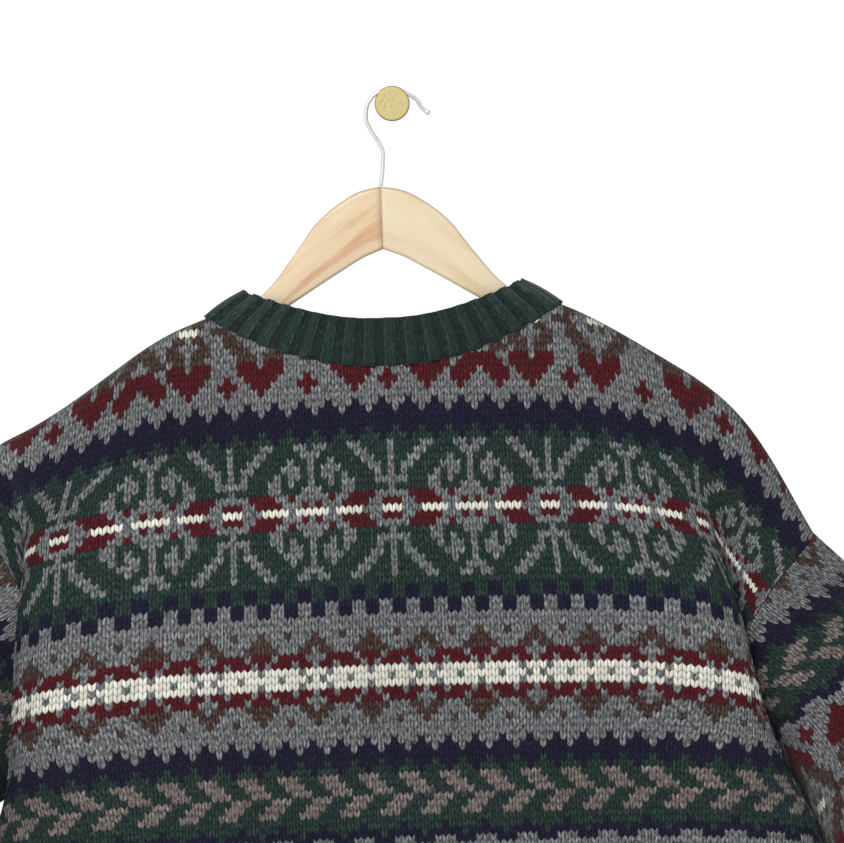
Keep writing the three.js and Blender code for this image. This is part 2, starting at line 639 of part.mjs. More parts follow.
const KNIT = 0x6d6f6e;
const GREEN_RIB = 0x24403b;
add(hung, "back_panel", panel(BACK_NECK_ROW, false), KNIT, 0.95);
add(hung, "front_panel", panel(FRONT_NECK_ROW, true), KNIT, 0.95);
add(hung, "neckband", neckband(), GREEN_RIB, 0.95);
add(hung, "back_hem_rib", hemRib(false), GREEN_RIB, 0.95);
add(hung, "front_hem_rib", hemRib(true), GREEN_RIB, 0.95);
for (const [side, name] of [[-1, "left"], [1, "right"]]) {
  add(hung, `sleeve_${name}`, sleeve(side), KNIT, 0.95);
  add(hung, `cuff_${name}`, cuff(side), GREEN_RIB, 0.95);
  add(hung, `hanger_arm_${name}`, hangerArm(side), 0xe2c79a, 0.55);
}
add(part, "hanger_hook", hook(), 0xb9bcc0, 0.3, 1).position.y = HANG_DEPTH;
add(part, "wall_peg", peg(), 0xcfc08a, 0.45);

export default part;
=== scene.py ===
import math

import bpy
import numpy as np
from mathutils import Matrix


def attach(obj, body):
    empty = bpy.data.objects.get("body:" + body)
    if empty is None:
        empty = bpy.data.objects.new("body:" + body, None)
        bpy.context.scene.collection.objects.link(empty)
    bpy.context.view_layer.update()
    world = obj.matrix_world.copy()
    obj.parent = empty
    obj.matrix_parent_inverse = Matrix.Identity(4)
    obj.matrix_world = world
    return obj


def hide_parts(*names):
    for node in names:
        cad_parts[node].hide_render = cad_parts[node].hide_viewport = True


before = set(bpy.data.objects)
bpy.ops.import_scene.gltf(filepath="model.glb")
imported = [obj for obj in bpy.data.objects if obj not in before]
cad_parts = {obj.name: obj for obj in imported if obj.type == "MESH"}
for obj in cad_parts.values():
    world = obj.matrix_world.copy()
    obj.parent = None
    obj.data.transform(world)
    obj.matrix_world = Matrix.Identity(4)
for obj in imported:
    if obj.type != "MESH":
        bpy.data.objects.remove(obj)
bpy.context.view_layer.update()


# The lie of the jumper
# A wool jumper hangs by its shoulders on a hanger, tilted a little. These tables say where each
# row of its knitting lies, in millimetres out, back and down from the hanger's top.
ROW = 5.05
HALF_STITCHES = 70
NECK_STITCHES = 27
NECK_SIDE_ROW = -28
BACK_NECK_ROW = -20
FRONT_NECK_ROW = -4
SHOULDER_END_ROW = -16
UNDERARM_ROW = 33
HEM_ROW = 100
STAR_ROW_DROP = 226
SHOULDER_ROLL_ROWS = 5
NECK_OPENING = 0.3
HALF_WAY_STITCH = 0.55
HALF_WAY_OUT = 0.565
HALF_WAY_FALL = 0.13
VALLEY_STITCH = 0.3
HANG_TILT = math.radians(2.2)
HANGER_TOP = (-8.4, -48.0, -58.1)
MID_GAP = 0.2

BODY_DEPTH = (
    ("row", "centre", "knee", "valley", "seam", "valleyOut", "valleyDown"),
    (-28, 15, 15, 13, 11, 0.36, 0.2),
    (-16, 16, 17, 12, 11, 0.36, 0.22),
    (0, 23, 28, 14, 26, 0.26, 0.24),
    (10, 28, 37, 22, 21, 0.22, 0.26),
    (24, 33, 43, 25, 14, 0.24, 0.3),
    (33, 33, 41, 27, 0, 0.3, 0.3),
    (44, 31, 34, 26, 0, 0.5, 0.3),
    (60, 28, 30, 22, 0, 0.55, 0.3),
    (100, 24, 26, 18, 0, 0.55, 0.3),
)
BODY_RIGHT = (
    ("row", "kneeStitch", "kneeOut", "kneeFall", "edgeOut", "edgeDown"),
    (-28, 46, 206, 22, 334, 214),
    (-16, 46, 207, 27, 298, 258),
    (0, 49, 220, 20, 258, 302),
    (10, 51, 237, 20, 236, 346),
    (24, 54, 252, 21, 249, 394),
    (33, 58, 265, 16, 266, 421),
    (44, 62, 285, 11, 292, 466),
    (60, 64, 297, 8, 304, 541),
    (100, 64, 303, 4, 312, 737),
)
BODY_LEFT = (
    ("row", "kneeStitch", "kneeOut", "kneeFall", "edgeOut", "edgeDown"),
    (-28, 56, 254, 38, 342, 156),
    (-16, 56, 256, 36, 312, 206),
    (0, 57, 259, 25, 262, 285),
    (10, 58, 265, 21, 264, 330),
    (24, 58, 270, 16, 269, 388),
    (33, 60, 275, 14, 276, 420),
    (44, 63, 289, 10, 295, 466),
    (60, 64, 297, 8, 304, 541),
    (100, 64, 303, 4, 312, 737),
)


def curve(xs, ys, x):
    """A smooth monotone curve through the points (xs, ys), read at x."""
    x = np.asarray(x, float)
    xs = [np.broadcast_to(np.asarray(v, float), x.shape) for v in xs]
    ys = [np.broadcast_to(np.asarray(v, float), x.shape) for v in ys]
    step = [b - a for a, b in zip(xs, xs[1:])]
    slope = [(b - a) / s for a, b, s in zip(ys, ys[1:], step)]
    tangent = [slope[0]]
    for i in range(1, len(slope)):
        before = slope[i - 1]
        after = slope[i]
        near = 2 * step[i] + step[i - 1]
        far = step[i] + 2 * step[i - 1]
        turns = before * after <= 0
        safe_before = np.where(turns, 1.0, before)
        safe_after = np.where(turns, 1.0, after)
        smooth = (near + far) / (near / safe_before + far / safe_after)
        tangent.append(np.where(turns, 0.0, smooth))
    tangent.append(slope[-1])
    x = np.clip(x, xs[0], xs[-1])
    result = ys[0].copy()
    for i in range(len(slope)):
        t = (x - xs[i]) / step[i]
        s = 1 - t
        value = ys[i] * (1 + 2 * t) * s * s + ys[i + 1] * (3 - 2 * t) * t * t
        value = value + step[i] * (tangent[i] * t * s * s - tangent[i + 1] * t * t * s)
        result = np.where((t >= 0) & (t <= 1), value, result)
    return result


def read(table, name, at):
    """One named column of a table, read between its lines."""
    column = table[0].index(name)
    return curve([line[0] for line in table[1:]], [line[column] for line in table[1:]], at)


def ease(t):
    t = np.clip(t, 0, 1)
    return t * t * (3 - 2 * t)


def top_row(stitch, neck_row):
    """Top row of a panel at a stitch: the neckline, then the sloping shoulder seam."""
    out = np.abs(stitch)
    neck = neck_row + (NECK_SIDE_ROW - neck_row) * (out / NECK_STITCHES) ** 2
    along = (out - NECK_STITCHES) / (HALF_STITCHES - NECK_STITCHES)
    shoulder = NECK_SIDE_ROW + (SHOULDER_END_ROW - NECK_SIDE_ROW) * along
    return np.where(out < NECK_STITCHES, neck, shoulder)


def body_point(stitch, row, neck_row=BACK_NECK_ROW):
    """Points of the back's outer face, in millimetres from the hanger's top."""
    stitch, row = np.broadcast_arrays(np.asarray(stitch, float), np.asarray(row, float))
    out = np.abs(stitch)
    left = stitch < 0

    def side(name):
        return np.where(left, read(BODY_LEFT, name, row), read(BODY_RIGHT, name, row))

    centre_up = -STAR_ROW_DROP - ROW * row
    knee = side("kneeStitch")
    knee_out = side("kneeOut")
    knee_fall = side("kneeFall")
    knee_up = centre_up - knee_fall
    edge_out = side("edgeOut")
    edge_up = -side("edgeDown")
    valley = knee + (HALF_STITCHES - knee) * VALLEY_STITCH
    stitches = [0, knee * HALF_WAY_STITCH, knee, valley, HALF_STITCHES]
    valley_out = knee_out + (edge_out - knee_out) * read(BODY_DEPTH, "valleyOut", row)
    valley_up = knee_up + (edge_up - knee_up) * read(BODY_DEPTH, "valleyDown", row)
    outs = [0, knee_out * HALF_WAY_OUT, knee_out, valley_out, edge_out]
    ups = [centre_up, centre_up - knee_fall * HALF_WAY_FALL, knee_up, valley_up, edge_up]
    depths = [read(BODY_DEPTH, name, row) for name in ("centre", "centre", "knee", "valley", "seam")]
    from_top = (row - top_row(stitch, neck_row)) / SHOULDER_ROLL_ROWS
    roll = np.sqrt(1 - (1 - np.clip(from_top, 0, 1)) ** 2)
    in_neck = np.clip(1 - (out / NECK_STITCHES) ** 2, 0, 1)
    neck_open = in_neck ** NECK_OPENING
    fill = neck_open + (1 - neck_open) * roll
    x = np.where(left, -1, 1) * curve(stitches, outs, out)
    y = -curve(stitches, depths, out) * fill
    z = curve(stitches, ups, out)
    return np.stack([x, y, z], axis=-1)


def hang(points):
    """Points measured from the hanger's top, tilted with it and given in metres in the row frame."""
    x, y, z = points[..., 0], points[..., 1], points[..., 2]
    turned = np.stack([
        x * math.cos(HANG_TILT) - z * math.sin(HANG_TILT), y,
        x * math.sin(HANG_TILT) + z * math.cos(HANG_TILT),
    ], axis=-1)
    return (turned + np.array(HANGER_TOP)) / 1000


# The yarns and the fair isle chart
# Worsted wool in seven shades, and the rib's green. The bands are common ones of this kind of
# knitting, worked stitch by stitch: stars and scrolls, a castle edge, diamonds, leaves and hearts.
CHART_ROWS = 83
CHART_START = -26
DIAMOND_ROW = 23
STAR_REPEAT = 24
DIAMOND_REPEAT = 16
DIAMOND_SHIFT = 4
HEART_REPEAT = 52
HEART_SHIFT = 14
LEG_TUCK_START = 0.12
LEG_TUCK_TURN = 2.6
# Painted shade in the gaps between legs, and slight painted light on the legs' tops.
GAP_PAINTED_SHADE = 0.26
LEG_PAINTED_LIGHT = 1.05
LEG_TONES = (0.86, 0.28)
DRIFT_TONES = (0.85, 0.3)
FIBRE_GRAIN = (3.1, 1.3)
FIBRE_RISE = 0.45
LIGHT_FIBRE = ((0.56, 0.57, 0.58, 1), 0.6)
DARK_FIBRE = ((0.2, 0.2, 0.21, 1), 0.8)
# G grey, E evergreen, N navy, M maroon, C cream, B brown, T taupe, R the rib's green on its raised
# stitches, P the same green with painted shade, for its sunken stitches: the colour of each, and how
# far it is mixed with lighter and darker fibres.
YARNS = {
    "G": ((116, 119, 121), 1.0),
    "E": ((33, 54, 51), 0.16),
    "N": ((26, 25, 50), 0.05),
    "M": ((84, 19, 28), 0.06),
    "C": ((241, 239, 226), 0.14),
    "B": ((71, 50, 42), 0.3),
    "T": ((122, 110, 104), 0.8),
    "R": ((35, 56, 52), 0.12),
    # P is a darker copy of R: painted shade for the sunken purl stitches.
    "P": ((26, 43, 41), 0.1),
}
YARN_NAMES = "".join(YARNS)
# Half of a star from its middle stitch, and half of a scroll: rows out from the cream row.
STAR_ROWS = (
    "CCGGGCCCCGCCC",
    "MMGGMMMMGGGMG",
    "GGGMMMMGGMGGG",
    "GEEEEEGGEEEGG",
    "GGGEEEGGEGEEG",
    "GEGEEEEGEGGEG",
    "GEGGEEEEGGGEG",
    "GEEGGEEEEGEEG",
    "GEEEGGEEEEEGG",
    "GEEEEGGEEEGGE",
)
# Half of the diamond band, from its tips to its middle row, over one repeat.
DIAMOND_ROWS = (
    "BGGGBGGGBGGGBGGG",
    "BBGGGGGBBBGGGGGB",
    "BBBGGGBBGBBGGGBB",
    "MMGMMMMGGGMMMMGM",
    "MGMMMGMMGMMGMMMG",
    "GCCCCCGCCCGCCCCC",
    "CCCGCCCGCGCCCGCC",
)
# Half of the heart band, from its middle row to the hearts' points.
HEART_ROWS = (
    "CCGGGGGCCCGGBBBGGGCCCGGGBBB",
    "BBGGGGBBGBBGGGBBGGBGBGGBBGG",
    "BBBGGBBGGGBBGGBBBGGGGGBBBGG",
    "GBBBGBBBGBBBGGGBBBGGGBBBGGG",
    "GGBBBGBBGBBGGGGGBBBGBBBGGGG",
    "MMMGGMMMGMMMGGGGMMMGMMMGGGG",
    "MMMMGMMMMMMMGGGGMMMMMMMGGGG",
    "GMMMMGMMMMMGGGMGGMMMMMGGGGM",
    "GGMMMGGMMMGGGMMMGGMMMGGGGMM",
    "GGGMGGGGMGGGGGMGGGGMGGGGGGM",
)
# Plain rows and short repeats between the bands, by row below the stars' cream row.
SHORT_ROWS = {
    -16: "G", -15: "GGGN", -14: "NGNN", -13: "N", -12: "N", -11: "NENN", -10: "EEEN",
    10: "E", 11: "EENN", 12: "EENN", 13: "NNGG", 14: "NNGG", 15: "G", 16: "G",
    30: "G", 31: "G", 32: "GGGN", 33: "NGNN", 34: "N", 35: "NENN", 36: "EEEN",
    37: "TTTEEE", 38: "ETTTEE", 39: "EETTTE", 40: "TTEEET", 41: "TEEETT", 42: "EEETTT",
    43: "E", 44: "NEEEEE", 45: "NNNENN", 46: "GGNNNG", 47: "G",
}


def folded(stitch, repeat):
    """Distance from the nearest middle of a mirrored repeat."""
    half = repeat // 2
    return abs((stitch + half) % repeat - half)


def yarn_at(stitch, row):
    """The yarn's letter at a stitch and a row of the chart."""
    row = (row - CHART_START) % CHART_ROWS + CHART_START
    if abs(row) < len(STAR_ROWS):
        return STAR_ROWS[abs(row)][folded(stitch, STAR_REPEAT)]
    if row in SHORT_ROWS:
        line = SHORT_ROWS[row]
        return line[stitch % len(line)]
    from_diamonds = abs(row - DIAMOND_ROW)
    if from_diamonds < len(DIAMOND_ROWS):
        line = DIAMOND_ROWS[len(DIAMOND_ROWS) - 1 - from_diamonds]
        return line[(stitch + DIAMOND_SHIFT) % DIAMOND_REPEAT]
    from_middle = row - CHART_START if row < 0 else CHART_START + CHART_ROWS - row
    return HEART_ROWS[from_middle][folded(stitch - HEART_SHIFT, HEART_REPEAT)]


def linear(colour):
    """A colour given as a screen shows it, as linear light."""
    return [(c / 255 / 12.92) if c <= 10 else ((c / 255 + 0.055) / 1.055) ** 2.4 for c in colour]


def ramp(tree, factor, stops):
    node = tree.nodes.new("ShaderNodeValToRGB")
    for element, (position, colour) in zip(node.color_ramp.elements, (stops[0], stops[-1])):
        element.position = position
        element.color = colour
    for position, colour in stops[1:-1]:
        node.color_ramp.elements.new(position).color = colour
    tree.links.new(factor, node.inputs[0])
    return node.outputs[0]


def sums(tree, operation, *values):
    """One step of arithmetic in a material."""
    node = tree.nodes.new("ShaderNodeMath")
    node.operation = operation
    for socket, value in zip(node.inputs, values):
        if isinstance(value, (int, float)):
            socket.default_value = value
        else:
            tree.links.new(value, socket)
    return node.outputs[0]


def blend(tree, kind, factor, first, second):
    """Mixes two colours in a material."""
    node = tree.nodes.new("ShaderNodeMix")
    node.data_type = "RGBA"
    node.blend_type = kind
    for name, value in (("Factor_Float", factor), ("A_Color", first), ("B_Color", second)):
        socket = next(s for s in node.inputs if s.identifier == name)
        if isinstance(value, (int, float, tuple, list)):
            socket.default_value = value
        else:
            tree.links.new(value, socket)
    return next(s for s in node.outputs if s.identifier == "Result_Color")


def spread(tree, value, low, more):
    """A value from 0 to 1, spread from low up to the sum of low and more."""
    return sums(tree, "ADD", low, sums(tree, "MULTIPLY", value, more))


def noise(tree, vector, scale, detail=3.0, rough=0.6):
    node = tree.nodes.new("ShaderNodeTexNoise")
    node.inputs["Scale"].default_value = scale
    node.inputs["Detail"].default_value = detail
    node.inputs["Roughness"].default_value = rough
    tree.links.new(vector, node.inputs["Vector"])
    return node.outputs[0]


def grey(level):
    return (level, level, level, 1)


def new_material(name):
    material = bpy.data.materials.new(name)
    material.use_nodes = True
    tree = material.node_tree
    shader = tree.nodes["Principled BSDF"]
    return material, tree, shader


def place_on(tree, name):
    """The two numbers that say where on a piece a point is, from its named map."""
    coordinates = tree.nodes.new("ShaderNodeUVMap")
    coordinates.uv_map = name
    place = tree.nodes.new("ShaderNodeSeparateXYZ")
    tree.links.new(coordinates.outputs[0], place.inputs[0])
    return place.outputs[0], place.outputs[1]


def together(tree, across, down):
    """Two numbers as one place for a noise."""
    place = tree.nodes.new("ShaderNodeCombineXYZ")
    tree.links.new(across, place.inputs[0])
    tree.links.new(down, place.inputs[1])
    return place.outputs[0]


def raise_surface(tree, shader, height, strength, distance):
    """Fine relief that only the light shows."""
    bump = tree.nodes.new("ShaderNodeBump")
    bump.inputs["Strength"].default_value = strength
    bump.inputs["Distance"].default_value = distance
    tree.links.new(height, bump.inputs["Height"])
    tree.links.new(bump.outputs[0], shader.inputs["Normal"])


def knit_material(name, leg_height, row_tuck):
    """Woollen knitting: two plied legs a stitch, mixed fibres, a soft nap, and painted shade between legs.
    """
    material, tree, shader = new_material(name)
    across, down = place_on(tree, "stitches")
    yarn = tree.nodes.new("ShaderNodeAttribute")
    yarn.attribute_name = "yarn"
    marl = yarn.outputs["Alpha"]

    # Height of the leg that a point is on: round across, tucked under at the top of its stitch.
    in_stitch = sums(tree, "ABSOLUTE", sums(tree, "SUBTRACT", sums(tree, "FRACT", across), 0.5))
    over_leg = sums(tree, "MULTIPLY", sums(tree, "SUBTRACT", in_stitch, 0.25), 4.0)
    roundness = sums(tree, "SUBTRACT", 1.0, sums(tree, "MULTIPLY", over_leg, over_leg))
    roundness = sums(tree, "SQRT", sums(tree, "MAXIMUM", roundness, 0.0))
    along = sums(tree, "FRACT", down)
    turn = sums(tree, "MULTIPLY", sums(tree, "ADD", along, LEG_TUCK_START), LEG_TUCK_TURN)
    tucked = sums(tree, "SINE", turn)
    leg = sums(tree, "MULTIPLY", roundness, spread(tree, tucked, 1 - row_tuck, row_tuck))

    # Fibres run along each leg, and each leg is a little lighter or darker than the next.
    fibre_place = together(
        tree, sums(tree, "MULTIPLY", across, FIBRE_GRAIN[0]),
        sums(tree, "MULTIPLY", down, FIBRE_GRAIN[1]))
    fibres = noise(tree, fibre_place, 1.0, 4.0, 0.7)
    leg_place = together(
        tree, sums(tree, "FLOOR", sums(tree, "MULTIPLY", across, 2.0)), sums(tree, "FLOOR", down))
    each_leg = tree.nodes.new("ShaderNodeTexWhiteNoise")
    each_leg.noise_dimensions = "2D"
    tree.links.new(leg_place, each_leg.inputs["Vector"])
    object_place = tree.nodes.new("ShaderNodeTexCoord")
    drift = noise(tree, object_place.outputs["Object"], 9.0, 2.0)

    light_fleck = ramp(tree, fibres, ((0.5, grey(0.0)), (0.64, grey(1.0))))
    dark_fleck = ramp(tree, fibres, ((0.38, grey(1.0)), (0.5, grey(0.0))))
    flecked = yarn.outputs["Color"]
    for kind, fleck, (fibre, most) in (
            ("MIX", light_fleck, LIGHT_FIBRE), ("MULTIPLY", dark_fleck, DARK_FIBRE)):
        share = sums(tree, "MULTIPLY", fleck, sums(tree, "MULTIPLY", marl, most))
        flecked = blend(tree, kind, share, flecked, fibre)
    leg_tone = spread(tree, each_leg.outputs["Value"], *LEG_TONES)
    drift_tone = spread(tree, drift, *DRIFT_TONES)
    tone = tree.nodes.new("ShaderNodeCombineColor")
    # Painted shade and light: the colour is darkened in the gaps between legs and where a leg tucks under,
    # and lightened a little on the legs' tops.
    painted_gap_shade = ramp(tree, leg, ((0.1, grey(GAP_PAINTED_SHADE)), (0.7, grey(LEG_PAINTED_LIGHT))))
    value = sums(tree, "MULTIPLY", sums(tree, "MULTIPLY", leg_tone, drift_tone), painted_gap_shade)
    for socket in tone.inputs:
        tree.links.new(value, socket)
    colour = blend(tree, "MULTIPLY", 1.0, flecked, tone.outputs[0])
    tree.links.new(colour, shader.inputs["Base Color"])

    surface = sums(tree, "ADD", leg, sums(tree, "MULTIPLY", fibres, FIBRE_RISE))
    raise_surface(tree, shader, surface, 0.75, leg_height)
    tree.links.new(spread(tree, fibres, 0.82, 0.15), shader.inputs["Roughness"])
    shader.inputs["Specular IOR Level"].default_value = 0.2
    shader.inputs["Sheen Weight"].default_value = 0.12
    shader.inputs["Sheen Roughness"].default_value = 0.45
    return material


# How a wall of knitting is made
# Each stitch is two legs in a V. A wall has an outer face with every stitch in relief, a plainer
# inner face on its own, coarser grid, and rims that close it.
LEG_RISE = 0.9
MIDDLE_RISE = 0.25
V_DEPTH = 0.24
CLOTH = 2.4
UNDER_EDGE = 1e-4
JUST_INSIDE = 0.999


def place_object(name, data):
    obj = bpy.data.objects.new(name, data)
    bpy.context.scene.collection.objects.link(obj)
    return obj


def row_at(place):
    """The row of knitting that a face with its top at a place belongs to."""
    return int(math.floor(place + 0.75))


class Wall:
    """Gathers the points and faces of one piece of knitting."""

    def __init__(self):
        self.points = []
        self.count = 0
        self.faces = []
        self.yarns = []
        self.stitches = []

    def add_points(self, points):
        start = self.count
        self.points.append(points.reshape(-1, 3))
        self.count += points.shape[0] * points.shape[1]
        return np.arange(start, self.count).reshape(points.shape[:2])

    def add_face(self, corners, yarn, places):
        self.faces.append(corners)
        self.yarns.append(yarn)
        self.stitches.append(places)

    def build(self, name, material, flip):
        """Merges points that meet, drops faces with no area, and makes the object."""
        points = np.concatenate(self.points)
        keys = np.round(points * 1e6).astype(np.int64)
        _, first, same = np.unique(keys, axis=0, return_index=True, return_inverse=True)
        same = same.reshape(-1)
        faces, colours, places = [], [], []
        for corners, yarn, place in zip(self.faces, self.yarns, self.stitches):
            kept = []
            for corner, spot in zip(corners, place):
                merged = int(same[corner])
                if all(merged != k[0] for k in kept):
                    kept.append((merged, spot))
            if len(kept) < 3:
                continue
            if flip:
                kept.reverse()
            faces.append([k[0] for k in kept])
            colours.extend([yarn] * len(kept))
            places.extend([k[1] for k in kept])
        mesh = bpy.data.meshes.new(name)
        mesh.from_pydata(hang(points[first]).tolist(), [], faces)
        palette = np.array([linear(rgb) + [marl] for rgb, marl in YARNS.values()])
        attribute = mesh.color_attributes.new("yarn", "FLOAT_COLOR", "CORNER")
        attribute.data.foreach_set("color", palette[np.array(colours)].ravel())
        uv = mesh.uv_layers.new(name="stitches")
        uv.data.foreach_set("uv", np.array(places, float).ravel())
        mesh.polygons.foreach_set("use_smooth", [True] * len(mesh.polygons))
        mesh.materials.append(material)
        mesh.update()
        return place_object(name, mesh)


def fine_columns(first, last, ends):
    """Column places: each stitch has an edge, a leg, its middle and a leg."""
    columns = []
    for stitch in range(first, last + 1):
        columns += [stitch - 0.5, stitch - 0.25, stitch, stitch + 0.25]
    columns.append(last + 0.5)
    return np.clip(np.array(columns), ends[0], ends[1])


def wall_from(place, normal, columns, rows, yarn_of, relief_of, inner_limit=None):
    """A wall with relief stitches. place and normal take stitches and rows as arrays."""
    wall = Wall()
    phase = np.arange(len(columns)) % 4
    zig = np.choose(phase, [-V_DEPTH, 0.0, V_DEPTH, 0.0])
    grid_rows = rows[:, None] + zig[None, :] * np.where(
        (rows == rows[0]) | (rows == rows[-1]), 0.0, 1.0)[:, None]
    grid_columns = np.broadcast_to(columns[None, :], grid_rows.shape)
    base = place(grid_columns, grid_rows)
    inward = normal(grid_columns, grid_rows)
    outer = base - inward * relief_of(grid_columns, grid_rows, phase)[..., None]
    inner = base[:, ::4] + inward[:, ::4] * CLOTH
    if inner_limit is not None:
        inner = inner_limit(inner)
        outer = inner_limit(outer)
    outside = wall.add_points(outer)
    inside = wall.add_points(inner)
    height, width = outside.shape
    for r in range(height - 1):
        row = row_at(rows[r])
        spots = [(columns[c] + 0.5, rows[r] + 0.5) for c in range(width)]
        below = [(columns[c] + 0.5, rows[r + 1] + 0.5 - UNDER_EDGE) for c in range(width)]
        for c in range(width - 1):
            stitch = int(math.floor((columns[c] + columns[c + 1]) / 2 + 0.5))
            yarn = yarn_of(stitch, row)
            wall.add_face(
                (outside[r, c], outside[r + 1, c], outside[r + 1, c + 1], outside[r, c + 1]), yarn,
                (spots[c], below[c], below[c + 1], spots[c + 1]))
            if c % 4 == 0:
                i = c // 4
                wall.add_face(
                    (inside[r, i], inside[r, i + 1], inside[r + 1, i + 1], inside[r + 1, i]), yarn,
                    (spots[c], spots[c + 4], below[c + 4], below[c]))
    for edge, turn in ((0, False), (height - 1, True)):
        row = row_at(rows[min(edge, height - 2)])
        for i in range(inside.shape[1] - 1):
            c = 4 * i
            around = [outside[edge, c + n] for n in range(5)] + [inside[edge, i + 1], inside[edge, i]]
            spots = [(columns[c + n] + 0.5, row + 0.5) for n in range(5)]
            spots += [spots[4], spots[0]]
            if turn:
                around.reverse()
                spots.reverse()
            wall.add_face(around, yarn_of(int(round(columns[c + 2])), row), spots)
    return wall, outside, inside


def close_sides(wall, outside, inside, columns, rows, yarn_of):
    """Rims down the two sides of a flat piece."""
    for r in range(outside.shape[0] - 1):
        row = row_at(rows[r])
        for c, i, turn in ((0, 0, False), (-1, -1, True)):
            around = [outside[r + 1, c], outside[r, c], inside[r, i], inside[r + 1, i]]
            spots = [(columns[c] + 0.5, row + 0.5)] * 4
            if turn:
                around.reverse()
            wall.add_face(around, yarn_of(int(round(columns[c] * JUST_INSIDE)), row), spots)


def cross_normal(surface, a, b, step_a, step_b):
    """Directions square to a surface, from its points a step to each side."""
    along_a = surface(a + step_a, b) - surface(a - step_a, b)
    along_b = surface(a, b + step_b) - surface(a, b - step_b)
    normal = np.cross(along_a, along_b)
    return normal / np.maximum(np.linalg.norm(normal, axis=-1, keepdims=True), 1e-9)


def stocking_relief(columns, rows, phase):
    """How far each point of a stitch stands up: its two legs most, its middle less."""
    rise = np.choose(phase, [0.0, LEG_RISE, MIDDLE_RISE, LEG_RISE])
    return np.broadcast_to(rise, columns.shape)


def chart_yarn(stitch, row):
    return YARN_NAMES.index(yarn_at(stitch, row))


def keep_behind(points):
    """Keeps a panel's points on its own side of the middle, clear of the other panel."""
    kept = points.copy()
    kept[..., 1] = np.minimum(kept[..., 1], -MID_GAP)
    return kept


# Back and front
# Two knitted panels with open necklines and sloping shoulders, sewn at the shoulders and sides.
# Each is one flat piece of stranded knitting, here hung over the hanger's ends.
BACK_AREA = 0.397
FRONT_AREA = 0.384
EDGE_ROWS = 1.2
BELOW_EDGE = 0.35

knit = knit_material("fair_isle_knit", 0.0012, 0.85)


def body_panel(name, neck_row, front):
    """One panel, placed as the back is and, for the front, turned over to the other side."""

    def placed(stitch, row):
        clamped = np.clip(row, top_row(stitch, neck_row), HEM_ROW)
        return body_point(stitch, clamped, neck_row)

    def normal(stitch, row):
        inset = np.clip(stitch, 0.5 - HALF_STITCHES, HALF_STITCHES - 0.5)
        below = np.maximum(row, top_row(inset, neck_row) + BELOW_EDGE)
        return cross_normal(lambda s, r: body_point(s, r, neck_row), inset, below, 0.5, 0.3)

    columns = fine_columns(-HALF_STITCHES, HALF_STITCHES, (-HALF_STITCHES, HALF_STITCHES))
    rows = np.append(np.arange(NECK_SIDE_ROW - 0.5, HEM_ROW), HEM_ROW)

    def relief(stitch, row, phase):
        from_top = np.clip((row - top_row(stitch, neck_row)) / EDGE_ROWS, 0, 1)
        return stocking_relief(stitch, row, phase) * ease(from_top)

    wall, outside, inside = wall_from(placed, normal, columns, rows, chart_yarn, relief, keep_behind)
    close_sides(wall, outside, inside, columns, rows, chart_yarn)
    if front:
        wall.points = [p * np.array([1, -1, 1]) for p in wall.points]
    return wall.build(name, knit, front)


back = body_panel("back", BACK_NECK_ROW, False)
front = body_panel("front", FRONT_NECK_ROW, True)
for piece, node, area in ((back, "back_panel", BACK_AREA), (front, "front_panel", FRONT_AREA)):
    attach(piece, "root")
    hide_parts(node)


# Sleeves
# Two tapered tubes in the same stranded knitting, begun in the diamond band at the armhole and
# narrowed along the seam under the arm. They hang down beside the body.
SLEEVE_RIGHT = (
    ("down", "topOut", "topDown", "underOut", "underDown", "depth", "lean"),
    (0, 298, 258, 266, 421, 37, 30),
    (60, 343, 304, 284, 452, 36, 20),
    (130, 381, 362, 299, 506, 36, 12),
    (210, 408, 440, 307, 566, 33, 8),
    (300, 423, 545, 318, 612, 30, 3),
    (400, 431, 650, 336, 680, 27, 0),
    (450, 432, 704, 352, 716, 24, 0),
)
SLEEVE_LEFT = (
    ("down", "topOut", "topDown", "underOut", "underDown", "depth", "lean"),
    (0, 312, 206, 276, 420, 37, 22),
    (60, 352, 258, 313, 448, 36, 14),
    (130, 383, 334, 323, 506, 38, 12),
    (210, 406, 418, 333, 566, 35, 6),
    (300, 419, 530, 340, 608, 31, 3),
    (400, 426, 642, 345, 678, 27, 0),
    (450, 427, 700, 348, 718, 24, 0),
)
SLEEVE_LENGTH = 450
SLEEVE_ROWS = 89
SEAM_EASE = 90
ARMHOLE_GAP = 0.1
SLEEVE_TOP_STITCHES = 52
SLEEVE_END_STITCHES = 28
SLEEVE_CHART_START = 26
SLANT_TOP = 60
SLANT_MORE = 50
SLANT_OVER = 150
SLANT_FADE = 0.7


def armhole_point(side, angle):
    """The armhole's edge, at an angle from the shoulder round the back to the underarm."""
    turn = np.mod(angle, 2 * math.pi)
    behind = turn <= math.pi
    share = np.where(behind, turn, 2 * math.pi - turn) / math.pi
    row = SHOULDER_END_ROW + (UNDERARM_ROW - SHOULDER_END_ROW) * share
    point = body_point(side * HALF_STITCHES + np.zeros_like(row), row)
    point[..., 1] = np.where(behind, point[..., 1], -point[..., 1])
    return point


def sleeve_round(side, angle, down):
    """A point round the sleeve's tube, at an angle from its top edge."""
    table = SLEEVE_LEFT if side < 0 else SLEEVE_RIGHT
    top_out, top_down, under_out, under_down, depth, lean = (
        read(table, name, down) for name in table[0][1:])
    across = side * (under_out - top_out)
    fall = top_down - under_down
    length = np.hypot(across, fall)
    inward_x = side * fall / length
    inward_z = -side * across / length
    share = (1 - np.cos(angle)) / 2
    bend = lean * np.sin(angle) ** 2
    x = side * top_out + across * share + inward_x * bend
    z = -top_down + fall * share + inward_z * bend
    return np.stack([x, -depth * np.sin(angle), z], axis=-1)


